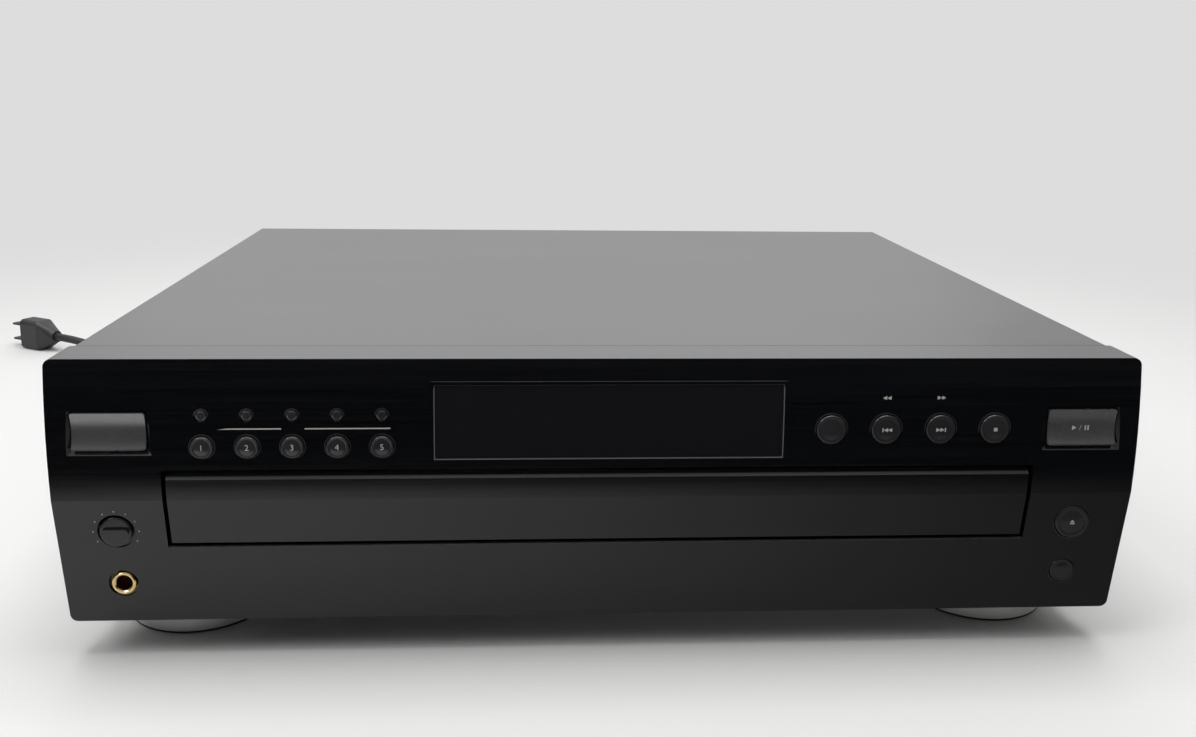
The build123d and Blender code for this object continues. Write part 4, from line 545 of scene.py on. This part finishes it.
SMALL_RING = [(2.42, -0.5), (2.95, -0.5), (2.9, 0.06), (2.6, 0.12), (2.42, 0.0)]
JACK_RING = [(3.25, -0.6), (4.75, -0.6), (4.75, 0.15), (4.3, 0.5), (3.7, 0.45), (3.25, 0.0)]
JACK_SINK = 0.2
TICK = [(0, 0.0), (0.28, 0.0), (0.28, 0.04), (0, 0.05)]
TICK_COUNT = 9
TICK_CIRCLE = 8.9
TICK_START, TICK_STEP = -120, 30
TICK_SIDES = 10

for name, x, z, radius in ROUND_BUTTONS:
    turned(name + "_ring", ring_section(radius), facing_front(x, z), "case", FINISH["button"], "button")
for number, x in enumerate(DISC_X, 1):
    turned(f"small_ring_{number}", SMALL_RING, facing_front(x, SMALL_Z), "case", FINISH["button"], "button")
for number in range(TICK_COUNT):
    angle = radians(TICK_START + TICK_STEP * number)
    place = facing_front(-SIDE_X + TICK_CIRCLE * sin(angle), KNOB_Z + TICK_CIRCLE * cos(angle))
    turned(f"tick_{number + 1}", TICK, place, "case", EXTRA["print"], "key", TICK_SIDES, close=False)
turned("jack_ring", JACK_RING, facing_front(-SIDE_X, JACK_Z, -JACK_SINK), "case", FINISH["jack"], "jack")

# ---------------------------------------------------------------- play key mark
PLAY_MARK_DROP = 0.4
PLAY_MARK_SINK = 0.85  # the key's scoop lies this far behind the front's face
mark("play_pause_mark", PLAY_PAUSE, KEY_X, KEY_Z - PLAY_MARK_DROP, -PLAY_MARK_SINK, "play_pause_button")

# ---------------------------------------------------------------- rim of the window, light grey bars that paint the highlight on its bevelled edge
WINDOW_LEFT, WINDOW_RIGHT, WINDOW_LOW, WINDOW_HIGH = -68.3, 70.5, 88.5, 118.1
RIM = 0.35
RIM_BACK = 0.5
RIM_PROUD = 0.10
RIM_STEPS = 8


def rim_bar(name, x0, x1, z0, z1):
    """One bar of the rim, a light grey strip that paints the edge's highlight, which follows the front's
    curve from z0 to z1.
    """
    heights = [z0 + (z1 - z0) * step / RIM_STEPS for step in range(RIM_STEPS + 1)]
    vertices = []
    for z in heights:
        section = ((x0, -RIM_BACK), (x1, -RIM_BACK), (x1, RIM_PROUD), (x0, RIM_PROUD))
        vertices += [on_face(x, z, out) for x, out in section]
    faces = [(0, 1, 2, 3), tuple(4 * RIM_STEPS + i for i in (3, 2, 1, 0))]
    for step in range(RIM_STEPS):
        base = 4 * step
        faces += [(base + i, base + 4 + i, base + 4 + (i + 1) % 4, base + (i + 1) % 4) for i in range(4)]
    return piece(name, vertices, faces, "case", EXTRA["rim"], "button", smooth=False)


rim_bar("window_highlight_left", WINDOW_LEFT - RIM, WINDOW_LEFT, WINDOW_LOW - RIM, WINDOW_HIGH + RIM)
rim_bar("window_highlight_right", WINDOW_RIGHT, WINDOW_RIGHT + RIM, WINDOW_LOW - RIM, WINDOW_HIGH + RIM)
rim_bar("window_highlight_low", WINDOW_LEFT, WINDOW_RIGHT, WINDOW_LOW - RIM, WINDOW_LOW)
rim_bar("window_highlight_high", WINDOW_LEFT, WINDOW_RIGHT, WINDOW_HIGH, WINDOW_HIGH + RIM)

# ---------------------------------------------------------------- numbers on the carousel
CAROUSEL_SETBACK = 179.0
NUMBER_RADIUS = 34.0
NUMBER_SIZE = 9.0
NUMBER_THICKNESS = 0.03
NUMBER_LIFT = 0.04
carousel_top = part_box("carousel")[1][2]
middle = Matrix.Translation((0, (FRONT_Y + CAROUSEL_SETBACK) * MM, carousel_top + NUMBER_LIFT * MM))
for number in range(DISC_COUNT):
    turn = Matrix.Rotation(2 * pi * number / DISC_COUNT, 4, "Z")
    place = middle @ turn @ Matrix.Translation((0, -NUMBER_RADIUS * MM, 0))
    name = f"well_number_{number + 1}"
    lettering(name, str(number + 1), NUMBER_SIZE, NUMBER_THICKNESS, place, "carousel")

# ---------------------------------------------------------------- rear jacks and pickup lens
REAR_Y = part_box("rear_panel")[1][1] / MM
LINE_JACK_X = 187.0
LINE_JACK_REACH = 9.0
LINE_JACKS = ((41.0, "red"), (55.0, "white"))  # height and colour
COLLAR = [(4.25, 0), (5.9, 0), (5.9, 1.2), (5.5, 1.6), (4.25, 1.6)]
JACK_FACE = [(1.75, 0), (4.1, 0), (4.1, 0.3), (1.75, 0.3)]
for number, (z, colour) in enumerate(LINE_JACKS, 1):
    place = facing_rear(LINE_JACK_X, REAR_Y, z)
    turned(f"line_jack_collar_{number}", COLLAR, place, "case", EXTRA[colour], "jack_block")
    place = facing_rear(LINE_JACK_X, REAR_Y + LINE_JACK_REACH, z)
    turned(f"line_jack_face_{number}", JACK_FACE, place, "case", EXTRA["pin_metal"], "jack")

LENS = [(0, -0.2), (3.1, -0.2), (2.6, 0.35), (1.4, 0.62), (0, 0.7)]
LENS_SETBACK = 307.0
LENS_SIDES = 32
sled_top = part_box("pickup_sled")[1][2]
lens_place = Matrix.Translation(Vector((0, (FRONT_Y + LENS_SETBACK) * MM, sled_top)))
turned("lens", LENS, lens_place, "sled", EXTRA["lens"], "window", LENS_SIDES, close=False)

# ---------------------------------------------------------------- mains cord
BODY_DEPTH = 363.6
REAR_END = FRONT_Y + BODY_DEPTH
CORD_RADIUS = 3.1
CORD_DIAMETER = 2 * CORD_RADIUS
COIL_FLOOR = CORD_RADIUS + 0.05
COIL_GAP = 0.7
COIL_PITCH = CORD_DIAMETER + COIL_GAP
COIL_INNER = 25.0
COIL_TURNS = 6.25
COIL_STEP = CORD_DIAMETER + COIL_GAP
COIL_CENTRE = (-187.0, 336.0)
COIL_REVERSE = COIL_TURNS * pi
QUARTER = pi / 2
RELIEF_X, RELIEF_Z, RELIEF_LENGTH = -150.0, 40.0, 24.0


def coil_point(angle, push=1.0):
    """A point on the coil's centre line, its radius scaled by push."""
    away = abs(angle - COIL_REVERSE)
    rate = COIL_PITCH / (2 * pi)
    radius = COIL_INNER + (rate * away if away > QUARTER else rate * (QUARTER / 2 + away**2 / (2 * QUARTER)))
    share = min(1.0, max(0.0, (angle - COIL_REVERSE + QUARTER) / (2 * QUARTER)))
    height = COIL_FLOOR + COIL_STEP * (1 - cos(pi * share)) / 2
    radius *= push
    return Vector((COIL_CENTRE[0] + radius * cos(angle), COIL_CENTRE[1] + radius * sin(angle), height))


def coil_way(angle):
    """The coil's direction at this angle."""
    nudge = 0.0005
    return (coil_point(angle + nudge) - coil_point(angle - nudge)).normalized()


COIL_END = 2 * pi * COIL_TURNS
COIL_IN = coil_point(0) - coil_way(0) * CORD_DIAMETER
COIL_OUT = coil_point(COIL_END) + coil_way(COIL_END) * CORD_DIAMETER


def cord_curve(name, points, slot, replaced):
    """A smooth cord along control points in millimetres."""
    curve = bpy.data.curves.new(name, "CURVE")
    curve.dimensions = "3D"
    spline = curve.splines.new("NURBS")
    spline.points.add(len(points) - 1)
    for point, place in zip(spline.points, points):
        point.co = (*(Vector(place) * MM), 1)
    spline.order_u = 3
    spline.use_endpoint_u = True
    curve.bevel_depth = CORD_RADIUS * MM
    curve.bevel_resolution = 6
    curve.resolution_u = 12
    curve.use_fill_caps = True
    shape = bpy.data.objects.new(name, curve)
    bpy.context.scene.collection.objects.link(shape)
    curve.materials.append(FINISH[slot].material)
    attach(shape, "case")
    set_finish(shape, slot)
    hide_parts(*replaced)
    return shape


COIL_POINTS_PER_TURN = 24
COIL_PUSH = (1 + 1 / cos(pi / COIL_POINTS_PER_TURN)) / 2  # the spline cuts inside its points by this much
coil_steps = round(COIL_TURNS * COIL_POINTS_PER_TURN)
coil_controls = [tuple(COIL_IN)]
for step in range(coil_steps + 1):
    push = 1.0 if step in (0, coil_steps) else COIL_PUSH
    coil_controls.append(tuple(coil_point(COIL_END * step / coil_steps, push)))
coil_controls.append(tuple(COIL_OUT))

lead_bend = COIL_IN - coil_way(0) * 30
LEAD = [
    (RELIEF_X, REAR_END + RELIEF_LENGTH, RELIEF_Z),
    (RELIEF_X, REAR_END + RELIEF_LENGTH + 24, RELIEF_Z),
    (RELIEF_X + (lead_bend.x - RELIEF_X) / 2, REAR_END + RELIEF_LENGTH + 54, RELIEF_Z / 2 - 2),
    tuple(lead_bend),
    tuple(COIL_IN),
]
PLUG_ANGLE = radians(150)
PLUG_WAY = Vector((cos(PLUG_ANGLE), sin(PLUG_ANGLE), 0))
PLUG_BACK = Vector((-424.0, 346.0, 12.5))
TAIL = [
    tuple(COIL_OUT),
    tuple(COIL_OUT + coil_way(COIL_END) * 34),
    (COIL_OUT.x - 74, COIL_OUT.y + 2.0, COIL_FLOOR + 1.0),
    (COIL_OUT.x - 118, COIL_OUT.y - 9.0, COIL_FLOOR),
    (-350.0, 348.0, COIL_FLOOR),
    (-382.0, 333.0, CORD_RADIUS + 2.0),
    tuple(PLUG_BACK - PLUG_WAY * 22),
    tuple(PLUG_BACK),
]
whole_cord = cord_curve("cord", LEAD[:-1] + coil_controls + TAIL[1:], "cord", ["mains_cord", "cord_coil"])

# ---------------------------------------------------------------- floor, light and camera
FLOOR_TONE = (0.64, 0.64, 0.635)
BACKGROUND_TONE = 0.72
FLOOR_HALF = 6.0
DARK_REFLECTION_START, DARK_REFLECTION_END = -0.32, -0.38  # where the floor paints a dark reflection in front of the object; it goes dark only in reflections
DARK_REFLECTION_TONE = 0.01
SHADE_START, SHADE_END = -0.20, 0.30  # where it goes darker in reflections, towards the right
SHADE_TONE = 0.16
FADE_START, FADE_END = 0.45, 1.3  # where the floor's tone runs into the background's

corners = [(x * FLOOR_HALF, y * FLOOR_HALF, 0) for x, y in ((-1, -1), (1, -1), (1, 1), (-1, 1))]
floor = bpy.data.meshes.new("floor")
floor.from_pydata(corners, [], [(0, 1, 2, 3)])
floor_object = bpy.data.objects.new("floor", floor)
bpy.context.scene.collection.objects.link(floor_object)

paint = Shader("floor_paint", FLOOR_TONE, 0.75)
floor.materials.append(paint.material)
place = paint.add("ShaderNodeSeparateXYZ")
paint.link(paint.place, place.inputs["Vector"])
distance = paint.add("ShaderNodeVectorMath", operation="LENGTH")
paint.link(paint.place, distance.inputs[0])
rays = paint.add("ShaderNodeLightPath")


def faded(value, start, end):
    """A factor that runs smoothly from 0 at start to 1 at end."""
    node = paint.add("ShaderNodeMapRange", interpolation_type="SMOOTHSTEP")
    node.inputs["From Min"].default_value = start
    node.inputs["From Max"].default_value = end
    paint.link(value, node.inputs["Value"])
    return node.outputs["Result"]


def both(first, second):
    """The product of two factors."""
    node = paint.add("ShaderNodeMath", operation="MULTIPLY")
    paint.link(first, node.inputs[0])
    paint.link(second, node.inputs[1])
    return node.outputs["Value"]


def plain_light(tone):
    """An even tone that takes no light."""
    node = paint.add("ShaderNodeEmission")
    node.inputs["Color"].default_value = (*grey(tone), 1)
    return node.outputs["Emission"]


def over(factor, below, above):
    """One surface over another."""
    node = paint.add("ShaderNodeMixShader")
    paint.link(factor, node.inputs["Fac"])
    paint.link(below, node.inputs[1])
    paint.link(above, node.inputs[2])
    return node.outputs["Shader"]


far_away = both(faded(distance.outputs["Value"], FADE_START, FADE_END), rays.outputs["Is Camera Ray"])
# painted dark reflection: the floor in front of the object turns near black for glossy rays only
painted_dark_reflection = both(faded(place.outputs["Y"], DARK_REFLECTION_START, DARK_REFLECTION_END), rays.outputs["Is Glossy Ray"])
shaded = both(faded(place.outputs["X"], SHADE_START, SHADE_END), rays.outputs["Is Glossy Ray"])
surface = over(far_away, paint.main.outputs["BSDF"], plain_light(BACKGROUND_TONE))
surface = over(shaded, surface, plain_light(SHADE_TONE))
surface = over(painted_dark_reflection, surface, plain_light(DARK_REFLECTION_TONE))
paint.link(surface, paint.tree.nodes["Material Output"].inputs["Surface"])

scene = bpy.context.scene
scene.view_settings.view_transform = "Standard"

world = bpy.data.worlds.new("studio")
world.use_nodes = True
scene.world = world
tree = world.node_tree
room = tree.nodes["Background"]
direction = tree.nodes.new("ShaderNodeTexCoord")
axes = tree.nodes.new("ShaderNodeSeparateXYZ")
tree.links.new(direction.outputs["Generated"], axes.inputs["Vector"])


def run(output, start, end, low, high):
    """A tone that runs from low to high while output runs from start to end."""
    node = tree.nodes.new("ShaderNodeMapRange")
    node.interpolation_type = "SMOOTHSTEP"
    node.inputs["From Min"].default_value = start
    node.inputs["From Max"].default_value = end
    node.inputs["To Min"].default_value = low
    node.inputs["To Max"].default_value = high
    tree.links.new(output, node.inputs["Value"])
    return node.outputs["Result"]


DARK_FRONT, PALE_BACK = 0.03, 0.42  # the room's strength in front of the object and behind it
PALE_ABOVE = 0.5  # what it gains overhead
depth_tone = run(axes.outputs["Y"], -0.6, 0.5, DARK_FRONT, PALE_BACK)
height_tone = run(axes.outputs["Z"], 0.25, 0.8, 0.0, PALE_ABOVE)
total = tree.nodes.new("ShaderNodeMath")
total.operation = "ADD"
tree.links.new(depth_tone, total.inputs[0])
tree.links.new(height_tone, total.inputs[1])
tree.links.new(total.outputs["Value"], room.inputs["Strength"])
room.inputs["Color"].default_value = (1, 1, 1, 1)
sky = tree.nodes.new("ShaderNodeBackground")
sky.inputs["Color"].default_value = (*grey(BACKGROUND_TONE), 1)
sky.inputs["Strength"].default_value = 1.0
chosen = tree.nodes.new("ShaderNodeMixShader")
path = tree.nodes.new("ShaderNodeLightPath")
tree.links.new(path.outputs["Is Camera Ray"], chosen.inputs["Fac"])
tree.links.new(room.outputs["Background"], chosen.inputs[1])
tree.links.new(sky.outputs["Background"], chosen.inputs[2])
tree.links.new(chosen.outputs["Shader"], tree.nodes["World Output"].inputs["Surface"])


def lamp(name, place, aim, size, power, size_y=None):
    """A soft rectangular lamp, aimed at a point."""
    light = bpy.data.lights.new(name, "AREA")
    light.shape = "RECTANGLE"
    light.size = size
    light.size_y = size_y or size
    light.energy = power
    shape = bpy.data.objects.new(name, light)
    shape.location = place
    direction = Vector(aim) - Vector(place)
    shape.rotation_euler = direction.to_track_quat("-Z", "Y").to_euler()
    scene.collection.objects.link(shape)


lamp("overhead", (0.0, -0.15, 1.9), (0, -0.10, 0.0), 1.6, 30, 1.2)
lamp("rear_wall", (0.0, 2.2, 1.2), (0, 0, 0.1), 2.4, 7, 1.2)
lamp("front_left", (-1.3, -0.9, 1.5), (0, -0.1, 0.05), 0.8, 11)

# the camera, solved from the photograph
CAMERA_SETBACK = 439.168
CAMERA_PLACE = Vector((-32.735, FRONT_Y - CAMERA_SETBACK, 241.989)) * MM
YAW, PITCH, ROLL = radians(3.66), radians(11.81), radians(0.85)
FOCAL_PIXELS = 1159.535
IMAGE_WIDTH = 1196
IMAGE_HEIGHT = 737
CENTRE_ROW = 307.2
SENSOR = 36.0
forward = Vector((sin(YAW) * cos(PITCH), cos(YAW) * cos(PITCH), -sin(PITCH)))
level_right = Vector((cos(YAW), -sin(YAW), 0))
level_up = level_right.cross(forward)
right = level_right * cos(ROLL) + level_up * sin(ROLL)
up = level_up * cos(ROLL) - level_right * sin(ROLL)
camera_data = bpy.data.cameras.new("camera")
camera_data.sensor_width = SENSOR
camera_data.lens = FOCAL_PIXELS / IMAGE_WIDTH * SENSOR
camera_data.shift_y = -(IMAGE_HEIGHT / 2 - CENTRE_ROW) / IMAGE_WIDTH
camera_data.clip_end = 60
camera = bpy.data.objects.new("camera", camera_data)
camera.matrix_world = Matrix(
    (
        (right.x, up.x, -forward.x, CAMERA_PLACE.x),
        (right.y, up.y, -forward.y, CAMERA_PLACE.y),
        (right.z, up.z, -forward.z, CAMERA_PLACE.z),
        (0, 0, 0, 1),
    )
)
scene.collection.objects.link(camera)
scene.camera = camera
